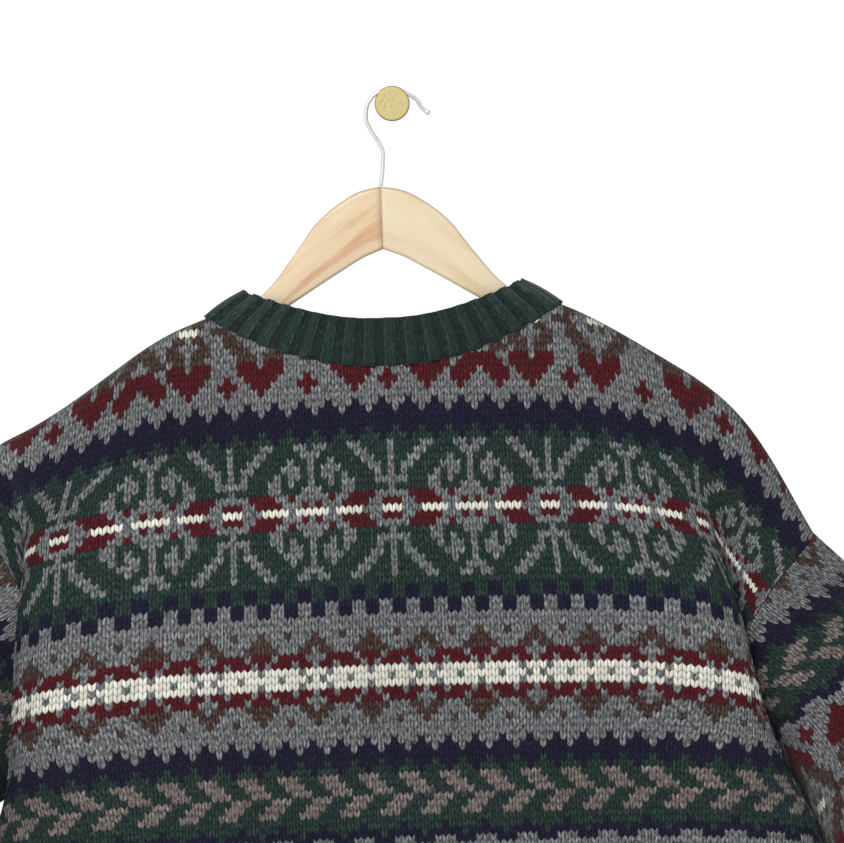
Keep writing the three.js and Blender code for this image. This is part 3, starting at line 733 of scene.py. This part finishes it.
def sleeve_point(side, angle, down):
    """The tube's point, eased into the armhole's edge where the sleeve begins."""
    start = armhole_point(side, angle) - sleeve_round(side, angle, np.zeros_like(down))
    share = 1 - ease(down / SEAM_EASE)
    return sleeve_round(side, angle, down) + start * share[..., None]


def sleeve(name, side):
    """A sleeve: its rows lie nearer the armhole under the arm, and it narrows to the cuff."""

    def half_width(row):
        share = np.clip(row / SLEEVE_ROWS, 0, 1)
        return SLEEVE_TOP_STITCHES + (SLEEVE_END_STITCHES - SLEEVE_TOP_STITCHES) * share

    def at(stitch, row):
        row = np.clip(row, 0, SLEEVE_ROWS)
        angle = math.pi * np.clip(stitch / half_width(row), -1, 1)
        share = row / SLEEVE_ROWS
        down = ARMHOLE_GAP + (SLEEVE_LENGTH - ARMHOLE_GAP) * share
        slant = (SLANT_TOP + SLANT_MORE * ease(down / SLANT_OVER)) * (1 - share) ** SLANT_FADE
        down = np.maximum(down - slant * (1 - np.cos(angle)) / 2, ARMHOLE_GAP)
        return np.mod(angle * side + 2 * math.pi, 2 * math.pi), down

    def placed(stitch, row):
        angle, down = at(stitch, row)
        return sleeve_point(side, angle, down)

    def normal(stitch, row):
        angle, down = at(stitch, row)
        down = np.clip(down, 4, SLEEVE_LENGTH - 3)
        return -side * cross_normal(lambda a, d: sleeve_point(side, a, d), angle, down, 0.05, 2.0)

    def relief(stitch, row, phase):
        from_seam = np.clip((half_width(row) - np.abs(stitch)) / 0.5, 0, 1)
        return stocking_relief(stitch, row, phase) * from_seam

    def yarn(stitch, row):
        return chart_yarn(stitch, row + SLEEVE_CHART_START)

    edge = SLEEVE_TOP_STITCHES
    columns = fine_columns(-edge, edge, (-edge, edge))
    rows = np.append(np.append(0, np.arange(0.5, SLEEVE_ROWS)), SLEEVE_ROWS)
    wall, _, _ = wall_from(placed, normal, columns, rows, yarn, relief)
    return wall.build(name, knit, False)


left_sleeve = sleeve("left_sleeve", -1)
right_sleeve = sleeve("right_sleeve", 1)
for piece, node in ((left_sleeve, "sleeve_left"), (right_sleeve, "sleeve_right")):
    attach(piece, "root")
    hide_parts(node)


# Ribbed edges
# Two by two rib in bottle green: a neckband picked up round the neckline, hem ribs below the
# panels and cuffs below the sleeves. Plain stitches stand up in pairs between sunken purl pairs.
RIB_RISE = 1.9
RIB_LEG_RISE = 0.8
RIB_ROW = 4.4
NECKBAND_HEIGHT = 34
NECKBAND_LEAN = 1.02
NECKBAND_LEAN_CURVE = 1.4
NECKBAND_SET_BACK = (0.1, -0.32)
NECKBAND_GAP = -1.6
SEAM_GAP = 0.4
RIB_STITCH = 3.75
HEM_RIB_LENGTH = 65
HEM_RIB_DRAW_IN = 0.975
CUFF_LENGTH = 62
CUFF_SLOPE = math.radians(-84)
CUFF_WIDTH = 84
CUFF_DEPTH = 36
CUFF_STITCH = 3.0
NECKBAND_CUT = (0.52, 0.034)
HEM_CUT = (0.625, 0.065)
CUFF_CUT = (0.188, 0.062)
NECKBAND_FACE = (0.5, 0.9)
NECKBAND_SMOOTHING = 5
NECKBAND_SWELL = 1.2
CUFF_WAIST = 0.05

rib_knit = knit_material("green_rib", 0.0010, 0.25)


# The plain pairs take the rib's green, and the purl pairs a darker copy of it: painted shade where they
# lie back.
def rib_yarn_with_painted_shade(stitch, row):
    return YARN_NAMES.index("R" if stitch % 4 < 2 else "P")


def rib_relief(columns, rows, phase):
    """Pairs of plain stitches stand up, and pairs of purl stitches lie back."""
    along = np.mod(columns + 0.5, 4)
    up = np.clip(1.15 - np.abs(along - 1), 0, 0.4) / 0.4
    legs = np.choose(phase, [0.0, RIB_LEG_RISE, MIDDLE_RISE, RIB_LEG_RISE])
    return up * (RIB_RISE + legs) + (1 - up) * 0.2 * legs


def even_places(place, first, last, count):
    """Places along an edge, count even steps apart."""
    fine = np.linspace(first, last, 1601)
    steps = np.linalg.norm(np.diff(place(fine), axis=0), axis=1)
    lengths = np.concatenate([[0], np.cumsum(steps)])
    return np.interp(np.linspace(0, lengths[-1], count), lengths, fine)


def edge_length(place, first, last):
    """Length of an edge of the knitting, in millimetres."""
    return float(np.linalg.norm(np.diff(place(np.linspace(first, last, 801)), axis=0), axis=1).sum())


def neck_half(front):
    """One half of the neckband: its foot, its rise and its outward direction, at stitches."""
    neck_row = FRONT_NECK_ROW if front else BACK_NECK_ROW
    facing = 1 if front else -1

    def foot(stitch):
        points = body_point(stitch, top_row(stitch, neck_row), neck_row)
        points[..., 1] *= -facing
        return points

    def rise(stitch):
        out = stitch / NECK_STITCHES
        angle = NECKBAND_LEAN * np.sign(out) * np.abs(out) ** NECKBAND_LEAN_CURVE
        back = NECKBAND_SET_BACK[1 if front else 0] * (1 - np.abs(out))
        direction = np.stack([-np.sin(angle), back, np.cos(angle)], axis=-1)
        return direction / np.linalg.norm(direction, axis=-1, keepdims=True)

    def outward(stitch):
        angle = math.pi / 2 * stitch / NECK_STITCHES
        up = rise(stitch)
        level = np.stack([
            np.sin(angle) * NECKBAND_FACE[0], facing * np.cos(angle),
            np.sin(np.abs(angle)) * NECKBAND_FACE[1]], axis=-1)
        level = level - up * (level * up).sum(-1, keepdims=True)
        return level / np.linalg.norm(level, axis=-1, keepdims=True)

    return foot, rise, outward


def ring_wall(place, normal, count, rows):
    """A ribbed tube of count stitches round, a multiple of four."""
    columns = fine_columns(0, count - 1, (-0.5, count - 0.5))

    def round_normal(stitch, row):
        return normal(np.where(stitch > count - 0.501, -0.5, stitch), row)

    def round_place(stitch, row):
        return place(np.where(stitch > count - 0.501, -0.5, stitch), row)

    wall, _, _ = wall_from(round_place, round_normal, columns, rows, rib_yarn_with_painted_shade, rib_relief)
    return wall


def neckband_wall():
    """The neckband's tube: its foot, rise and outward direction sampled evenly all round."""
    halves = [neck_half(False), neck_half(True)]
    spans = [(-NECK_STITCHES, NECK_STITCHES), (NECK_STITCHES, -NECK_STITCHES)]
    counts = [
        4 * round(edge_length(half[0], *span) / RIB_STITCH / 4) for half, span in zip(halves, spans)]
    total = sum(counts)
    places = [
        even_places(half[0], *span, 8 * count + 1) for half, span, count in zip(halves, spans, counts)]
    steps = np.linspace(0, 1, 8 * total + 1)
    samples = []
    for part in range(3):
        first = halves[0][part](places[0][:-1])
        second = halves[1][part](places[1])
        samples.append(np.concatenate([first, second]))
    reach = NECKBAND_SMOOTHING
    for part in (1, 2):
        ring = samples[part]
        wide = np.concatenate([ring[-reach - 1:-1], ring, ring[1:reach + 1]])
        smooth = sum(wide[i:i + len(ring)] for i in range(2 * reach + 1))
        samples[part] = smooth / np.linalg.norm(smooth, axis=-1, keepdims=True)

    def sampled(part, stitch):
        share = np.mod(stitch + 0.5, total) / total
        flat = [np.interp(share.ravel(), steps, samples[part][:, axis]) for axis in range(3)]
        return np.stack(flat, axis=-1).reshape(share.shape + (3,))

    rows = np.arange(0, math.floor(NECKBAND_HEIGHT / RIB_ROW) + 1) * 1.0

    def placed(stitch, row):
        share = np.clip(row / rows[-1], 0, 1)
        up = NECKBAND_GAP + NECKBAND_HEIGHT * share
        swell = np.sin(share * math.pi) * NECKBAND_SWELL
        foot, rise, outward = (sampled(part, stitch) for part in range(3))
        return foot + rise * up[..., None] + outward * swell[..., None]

    def normal(stitch, row):
        return -sampled(2, stitch)

    return ring_wall(placed, normal, total, rows)


def cuff_wall(side):
    """A cuff's tube, from the sleeve's end to a narrower, flatter wrist."""
    table = SLEEVE_LEFT if side < 0 else SLEEVE_RIGHT
    _, top_out, top_down, under_out, under_down, depth, _ = table[-1]
    top = np.array([side * top_out, 0, -top_down], float)
    under = np.array([side * under_out, 0, -under_down], float)
    centre = (top + under) / 2
    width = np.linalg.norm(top - under)
    across = (top - under) / width
    flat = np.array([side, 0, 0], float)
    fall = np.array([side * math.cos(CUFF_SLOPE), 0, math.sin(CUFF_SLOPE)])
    count = 4 * round(math.pi * (CUFF_WIDTH + CUFF_DEPTH) / 2 / CUFF_STITCH / 4)
    rows = np.arange(0, round(CUFF_LENGTH / RIB_ROW) + 1) * 1.0

    def placed(stitch, row):
        share = np.clip(row / rows[-1], 0, 1)[..., None]
        angle = 2 * math.pi * (stitch + 0.5) / count
        if side > 0:
            angle = -angle
        turned = across * (1 - share) + flat * share
        turned = turned / np.linalg.norm(turned, axis=-1, keepdims=True)
        middle = centre + fall * (SEAM_GAP + CUFF_LENGTH * share)
        waist = 1 - CUFF_WAIST * np.sin(share * math.pi)
        half_width = (width * (1 - share) + CUFF_WIDTH * share) / 2 * waist
        point = middle + turned * half_width * np.cos(angle)[..., None]
        half_depth = (2 * depth * (1 - share[..., 0]) + CUFF_DEPTH * share[..., 0]) / 2
        point[..., 1] = -half_depth * np.sin(angle)
        return point

    def normal(stitch, row):
        inside = np.clip(row, 0.3, rows[-1] - 0.3)
        return -cross_normal(placed, stitch, inside, 0.2, 0.2)

    return ring_wall(placed, normal, count, rows)


def hem_wall(front):
    """A hem rib, along a panel's lower edge and drawn in a little."""

    def edge(stitch):
        return body_point(stitch, np.full(np.shape(stitch), float(HEM_ROW)))

    length = edge_length(edge, -HALF_STITCHES, HALF_STITCHES)
    count = 4 * round(length / RIB_STITCH / 4) + 2
    places = even_places(edge, -HALF_STITCHES, HALF_STITCHES, count + 1)
    rows = np.arange(0, round(HEM_RIB_LENGTH / RIB_ROW) + 1) * 1.0

    def placed(stitch, row):
        share = np.clip(row / rows[-1], 0, 1)
        at = np.interp(stitch + 0.5, np.arange(count + 1), places)
        point = edge(at)
        point[..., 0] *= 1 + (HEM_RIB_DRAW_IN - 1) * share
        point[..., 2] -= SEAM_GAP + (HEM_RIB_LENGTH - SEAM_GAP) * share
        return point

    def normal(stitch, row):
        inside = np.clip(stitch, 0, count - 1)
        return cross_normal(placed, inside, np.clip(row, 0.3, rows[-1] - 0.3), 0.4, 0.2)

    columns = fine_columns(0, count - 1, (-0.5, count - 0.5))
    wall, outside, inside = wall_from(
        placed, normal, columns, rows, rib_yarn_with_painted_shade, rib_relief, keep_behind)
    close_sides(wall, outside, inside, columns, rows, rib_yarn_with_painted_shade)
    if front:
        wall.points = [p * np.array([1, -1, 1]) for p in wall.points]
    return wall


neckband = neckband_wall().build("neckband_rib", rib_knit, False)
back_hem = hem_wall(False).build("back_hem", rib_knit, False)
front_hem = hem_wall(True).build("front_hem", rib_knit, True)
left_cuff = cuff_wall(-1).build("left_cuff", rib_knit, False)
right_cuff = cuff_wall(1).build("right_cuff", rib_knit, False)
for piece, node, cut, carriers in (
        (neckband, "neckband", NECKBAND_CUT, [back, front]),
        (back_hem, "back_hem_rib", HEM_CUT, [back]), (front_hem, "front_hem_rib", HEM_CUT, [front]),
        (left_cuff, "cuff_left", CUFF_CUT, [left_sleeve]),
        (right_cuff, "cuff_right", CUFF_CUT, [right_sleeve])):
    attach(piece, "root")
    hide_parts(node)


# Wooden hanger
# Two arms of pale solid wood, sawn to a curve, rounded over and glued at the crown, under a thin
# clear varnish. The left arm is warmer, with reddish streaks; the right arm is creamier.
HANGER_THICK = 10.4
HANGER_ROUND = 3.2
HANGER_JOINT_GAP = 0.1
ARM_TIP_ROUND = 9
ARM_END_GAP = 0.3
ARM_ROUNDS = 72
ARM_CROWDING = 1.5
EDGE_STEPS = 6
ARM = (
    ("out", "top", "under"),
    (0, 0, 44.5), (14, 2.6, 50), (28, 9.8, 58), (49, 27, 70.5), (57, 38, 75.5), (66, 50, 81),
    (80, 67.5, 90.5), (96, 81, 100), (125, 100.2, 117), (168, 117, 139), (200, 138, 156),
    (213, 151, 162),
)
ARM_LEAN = 0.66
GRAIN_SIZE = (0.09, 0.011, 0.011)
PORE_SIZE = (0.012, 0.0011, 0.0011)


def tube_mesh(name, rounds, places, material):
    """Closes rings of points into a solid; places are the points' places on it for its material."""
    count, around = rounds.shape[:2]
    faces = []
    for r in range(count - 1):
        for i in range(around):
            j = (i + 1) % around
            faces.append((r * around + i, r * around + j, (r + 1) * around + j, (r + 1) * around + i))
    faces.append(tuple(range(around - 1, -1, -1)))
    faces.append(tuple(range((count - 1) * around, count * around)))
    mesh = bpy.data.meshes.new(name)
    mesh.from_pydata(rounds.reshape(-1, 3).tolist(), [], faces)
    uv = mesh.uv_layers.new(name="place")
    corners = [corner for face in faces for corner in face]
    uv.data.foreach_set("uv", places.reshape(-1, 2)[corners].ravel())
    mesh.polygons.foreach_set("use_smooth", [len(face) == 4 for face in faces])
    mesh.materials.append(material)
    return place_object(name, mesh)


def screen(red, green, blue):
    return (*linear((red, green, blue)), 1)


def stretched(tree, angle, size):
    """Places on a piece, turned about the view's depth and stretched for grain or scratches."""
    place = tree.nodes.new("ShaderNodeTexCoord")
    turn = tree.nodes.new("ShaderNodeMapping")
    turn.vector_type = "TEXTURE"
    turn.inputs["Rotation"].default_value = (0, angle, 0)
    turn.inputs["Scale"].default_value = size
    tree.links.new(place.outputs["Object"], turn.inputs["Vector"])
    return turn.outputs[0]


def wood_material(name, pale, warm, streak, lean, streak_low):
    """Straight grain along the arm, fine pores, painted shade on the rounded edges and a line at the
    joint.
    """
    material, tree, shader = new_material(name)
    grain = noise(tree, stretched(tree, lean, GRAIN_SIZE), 1.0, 4.0, 0.62)
    fine = noise(tree, stretched(tree, lean, PORE_SIZE), 1.0, 2.0)
    out, down = place_on(tree, "place")
    colour = ramp(tree, grain, ((0.36, pale), (0.54, warm), (0.68, streak)))
    wavy = sums(tree, "ADD", down, sums(tree, "MULTIPLY", grain, 0.35))
    band = ramp(
        tree, wavy, ((0.84, grey(0.0)), (0.93, grey(1.0)), (0.99, grey(1.0)), (1.08, grey(0.25))))
    low = sums(tree, "MULTIPLY", band, streak_low)
    colour = blend(tree, "MIX", low, colour, screen(208, 138, 98))
    colour = blend(tree, "MULTIPLY", sums(tree, "MULTIPLY", fine, 0.22), colour, (0.78, 0.66, 0.5, 1))
    # Painted shade: the colour darkens along the rounded top edge, and half as much along the bottom one,
    # where they turn from the light.
    edge = ramp(
        tree, down, ((0.0, grey(1.0)), (0.035, grey(0.0)), (0.985, grey(0.0)), (1.0, grey(0.5))))
    joint = ramp(tree, out, ((0.0, grey(1.0)), (0.006, grey(0.0))))
    darker = sums(tree, "MAXIMUM", edge, sums(tree, "MULTIPLY", joint, 0.4))
    colour = blend(tree, "MULTIPLY", sums(tree, "MULTIPLY", darker, 0.6), colour, (0.56, 0.4, 0.28, 1))
    tree.links.new(colour, shader.inputs["Base Color"])
    tree.links.new(spread(tree, fine, 0.35, 0.15), shader.inputs["Roughness"])
    raise_surface(tree, shader, fine, 0.25, 0.0002)
    shader.inputs["Coat Weight"].default_value = 0.15
    return material


def hanger_arm(name, side, material):
    """One arm, sawn to its curve, with its edges and tip rounded."""
    tip = ARM[-1][0]
    inset = HANGER_THICK / 2 - HANGER_ROUND
    even = np.linspace(0, 1, ARM_ROUNDS)
    start = HANGER_JOINT_GAP / 2
    outs = start + (tip - ARM_END_GAP - start) * (1 - (1 - even) ** ARM_CROWDING)
    rounds, places = [], []
    for out in outs:
        top = float(read(ARM, "top", out))
        under = float(read(ARM, "under", out))
        past = max(0, (out - (tip - ARM_TIP_ROUND)) / ARM_TIP_ROUND)
        fullness = math.sqrt(1 - past ** 2)
        half = (under - top) / 2 * fullness
        edge = min(HANGER_ROUND, half * 0.9)
        ring, spots = [], []
        for across, up in ((1, 1), (-1, 1), (-1, -1), (1, -1)):
            for step in range(EDGE_STEPS + 1):
                turn = math.pi / 2 * (step if across * up > 0 else EDGE_STEPS - step) / EDGE_STEPS
                y = across * (inset + HANGER_ROUND * math.cos(turn)) * (0.6 + 0.4 * fullness)
                z = up * (half - edge + edge * math.sin(turn))
                ring.append((side * out, y, z - (top + under) / 2))
                spots.append((out / 100, 0.5 - z / (2 * half)))
        if side < 0:
            ring.reverse()
            spots.reverse()
        rounds.append(ring)
        places.append(spots)
    return tube_mesh(name, hang(np.array(rounds)), np.array(places), material)


left_wood = wood_material(
    "left_wood", screen(246, 227, 193), screen(243, 216, 178), screen(233, 192, 154), -ARM_LEAN, 0.45)
right_wood = wood_material(
    "right_wood", screen(248, 233, 202), screen(245, 226, 190), screen(238, 214, 172), ARM_LEAN, 0.08)
left_arm = hanger_arm("left_arm", -1, left_wood)
right_arm = hanger_arm("right_arm", 1, right_wood)
for piece, node, slot in (
        (left_arm, "hanger_arm_left", "left_wood"), (right_arm, "hanger_arm_right", "right_wood")):
    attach(piece, "root")
    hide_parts(node)


# Hook
# A bent steel wire, bright and smooth, with a small rounded tip at its tail. It screws into the
# crown of the hanger and hangs over the peg behind its disc.
HOOK_WIRE = 2.8
HOOK_TIP = 3.9
HOOK_ROUNDS = 150
HOOK_SIDES = 14
HANG_DEPTH = -48
HOOK_ROUTE = (
    ("x", "z"),
    (26.6, -6.3), (21, -2.2), (17.2, 3.6), (12.4, 6.8), (6, 9.9), (-1.4, 11.2), (-8.8, 9.5),
    (-14.9, 4.8), (-18.4, -2), (-18.9, -9.5), (-15.8, -17.6), (-10, -26.5), (-6.8, -34), (-7, -45),
    (-8.3, -57.6),
)


def metal_material(name, colour, mark, metal, roughness, spread_out, rim=False):
    """Metal with fine scratches both ways, a dull, worn variation and, with rim, painted shade on the rim.
    """
    material, tree, shader = new_material(name)
    place = tree.nodes.new("ShaderNodeTexCoord")
    marks = [
        noise(tree, stretched(tree, angle, size), 1.0, 3.0, 0.7)
        for angle, size in ((0.5, spread_out), (-1.1, spread_out[::-1]))]
    both = sums(tree, "MINIMUM", marks[0], marks[1])
    worn = noise(tree, place.outputs["Object"], 260.0, 3.0)
    shade = ramp(tree, both, ((0.3, mark), (0.4, colour)))
    shade = blend(tree, "MULTIPLY", sums(tree, "MULTIPLY", worn, 0.3), shade, (0.82, 0.8, 0.74, 1))
    if rim:
        # Painted shade: the disc's rounded rim is darkened, where it turns from the light.
        _, out = place_on(tree, "place")
        edge = ramp(tree, out, ((0.0, grey(0.0)), (0.8, grey(0.0)), (0.87, grey(1.0))))
        shade = blend(tree, "MULTIPLY", edge, shade, (0.42, 0.36, 0.3, 1))
    tree.links.new(shade, shader.inputs["Base Color"])
    tree.links.new(spread(tree, worn, roughness, 0.15), shader.inputs["Roughness"])
    shader.inputs["Metallic"].default_value = metal
    return material


def hook():
    """The wire along its route, with a small ball at its tail."""
    knots = np.array(HOOK_ROUTE[1:], float)
    lengths = np.concatenate([[0], np.cumsum(np.linalg.norm(np.diff(knots, axis=0), axis=1))])
    tip = np.linspace(0, 1, 9)[:-1] ** 1.5 * HOOK_TIP
    along = np.concatenate([tip, np.linspace(HOOK_TIP, lengths[-1], HOOK_ROUNDS)])
    middle = np.stack([curve(lengths, knots[:, axis], along) for axis in (0, 1)], axis=-1)
    for _ in range(3):
        middle[10:-1] = (middle[9:-2] + 2 * middle[10:-1] + middle[11:]) / 4
    forward = np.gradient(middle, along, axis=0)
    forward /= np.linalg.norm(forward, axis=1, keepdims=True)
    ball = np.sqrt(np.clip((HOOK_TIP / 2) ** 2 - (along - HOOK_TIP / 2) ** 2, 0.01, None))
    radius = np.where(along < HOOK_TIP / 2, ball, np.maximum(ball, HOOK_WIRE / 2))
    turn = np.arange(HOOK_SIDES) / HOOK_SIDES * 2 * math.pi
    side = np.stack([-forward[:, 1], forward[:, 0]], axis=-1)
    across = radius[:, None] * np.cos(turn)
    points = np.stack([
        middle[:, :1] + side[:, :1] * across,
        HANG_DEPTH + radius[:, None] * np.sin(turn),
        middle[:, 1:] + side[:, 1:] * across,
    ], axis=-1)
    places = np.stack(np.broadcast_arrays(along[:, None] / 100, turn[None, :]), axis=-1)
    return tube_mesh("hook", points / 1000, places, wire)


wire = metal_material(
    "hook_wire", screen(246, 248, 251), screen(222, 224, 229), 0.3, 0.25, (0.004, 0.004, 0.02))
hanger_hook = hook()
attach(hanger_hook, "root")
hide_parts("hanger_hook")


# Peg
# A turned wall peg: a round stem and a flat disc with a softened rim, in a dull pale gold finish
# that hangers have scratched.
PEG_STEM_RADIUS = 9.4
PEG_HEAD_RADIUS = 12.3
PEG_STEM_LENGTH = 66
PEG_LENGTH = 74
PEG_EDGE = 1.2
PEG_FACE_INSET = 2.4
PEG_CENTRE = 0.02
PEG_SIDES = 96


def peg():
    """The peg turned from its profile, from the wall out to the disc's face."""
    profile = [(PEG_CENTRE, 0), (PEG_STEM_RADIUS, 0), (PEG_STEM_RADIUS, PEG_STEM_LENGTH)]
    for out, start in ((PEG_STEM_LENGTH + PEG_EDGE, -90), (PEG_LENGTH - PEG_EDGE, 0)):
        for step in range(7):
            angle = math.radians(start + 15 * step)
            profile.append((
                PEG_HEAD_RADIUS - PEG_EDGE + PEG_EDGE * math.cos(angle), out + PEG_EDGE * math.sin(angle)))
    profile += [(PEG_HEAD_RADIUS - PEG_FACE_INSET, PEG_LENGTH), (PEG_CENTRE, PEG_LENGTH)]
    turn = np.arange(PEG_SIDES) / PEG_SIDES * 2 * math.pi
    rings = [
        np.stack([r * np.cos(turn), np.full(PEG_SIDES, -float(out)), r * np.sin(turn)], axis=-1)
        for r, out in profile]
    places = [np.stack([turn, np.full(PEG_SIDES, (r if out > PEG_STEM_LENGTH else 8) / 14)], axis=-1)
              for r, out in profile]
    return tube_mesh("peg", np.array(rings) / 1000, np.array(places), brass)


brass = metal_material(
    "peg_face", screen(219, 206, 146), screen(164, 138, 84), 0.2, 0.45, (0.0009, 0.0009, 0.006), True)
wall_peg = peg()
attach(wall_peg, "root")
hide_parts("wall_peg")


# Floor, light and camera
# A pale floor far below the hem, a white studio all round with soft lamps, and the camera
# straight on at the peg's height, its lens shifted down to the jumper.
FLOOR_LEVEL = -1.3
FLOOR_REACH = 4
WORLD_LIGHT = 0.46
WORLD_SEEN_MORE = 0.56
CAMERA_PLACE = (0.021, -2.28, -0.085)
LENS = 134
LENS_SHIFT = -0.2335

floor_mesh = bpy.data.meshes.new("studio_floor")
floor_mesh.from_pydata([
    (x * FLOOR_REACH, y * FLOOR_REACH, FLOOR_LEVEL)
    for x, y in ((-1, -1), (1, -1), (1, 1), (-1, 1))], [], [(0, 1, 2, 3)])
floor = place_object("studio_floor", floor_mesh)
floor_material, floor_tree, floor_shader = new_material("studio_floor")
floor_place = floor_tree.nodes.new("ShaderNodeTexCoord")
floor_noise = noise(floor_tree, floor_place.outputs["Object"], 3.0)
floor_tone = ramp(floor_tree, floor_noise, ((0.3, grey(0.78)), (0.7, grey(0.82))))
floor_tree.links.new(floor_tone, floor_shader.inputs["Base Color"])
floor_mesh.materials.append(floor_material)

world = bpy.data.worlds.new("studio")
bpy.context.scene.world = world
world.use_nodes = True
world_tree = world.node_tree
background = world_tree.nodes["Background"]
background.inputs["Color"].default_value = (1, 1, 1, 1)
seen = world_tree.nodes.new("ShaderNodeLightPath")
strength = spread(world_tree, seen.outputs["Is Camera Ray"], WORLD_LIGHT, WORLD_SEEN_MORE)
world_tree.links.new(strength, background.inputs["Strength"])


def soft_lamp(name, place, target, size, power):
    data = bpy.data.lights.new(name, "AREA")
    data.size = size
    data.energy = power
    lamp = place_object(name, data)
    lamp.location = place
    aim = np.array(target) - np.array(place)
    lamp.rotation_euler = (
        math.atan2(math.hypot(aim[0], aim[1]), -aim[2]), 0, math.atan2(aim[1], aim[0]) - math.pi / 2)


soft_lamp("key_lamp", (-0.8, -2.3, 1.1), (-0.05, 0, -0.3), 0.9, 36)
soft_lamp("fill_lamp", (-1.4, -1.6, -0.2), (-0.1, 0, -0.5), 1.2, 3)

bpy.context.scene.view_settings.view_transform = "Standard"
camera_data = bpy.data.cameras.new("camera")
camera_data.sensor_width = 36
camera_data.lens = LENS
camera_data.clip_end = 30
camera_data.shift_y = LENS_SHIFT
camera = place_object("camera", camera_data)
camera.location = CAMERA_PLACE
camera.rotation_euler = (math.pi / 2, 0, 0)
bpy.context.scene.camera = camera
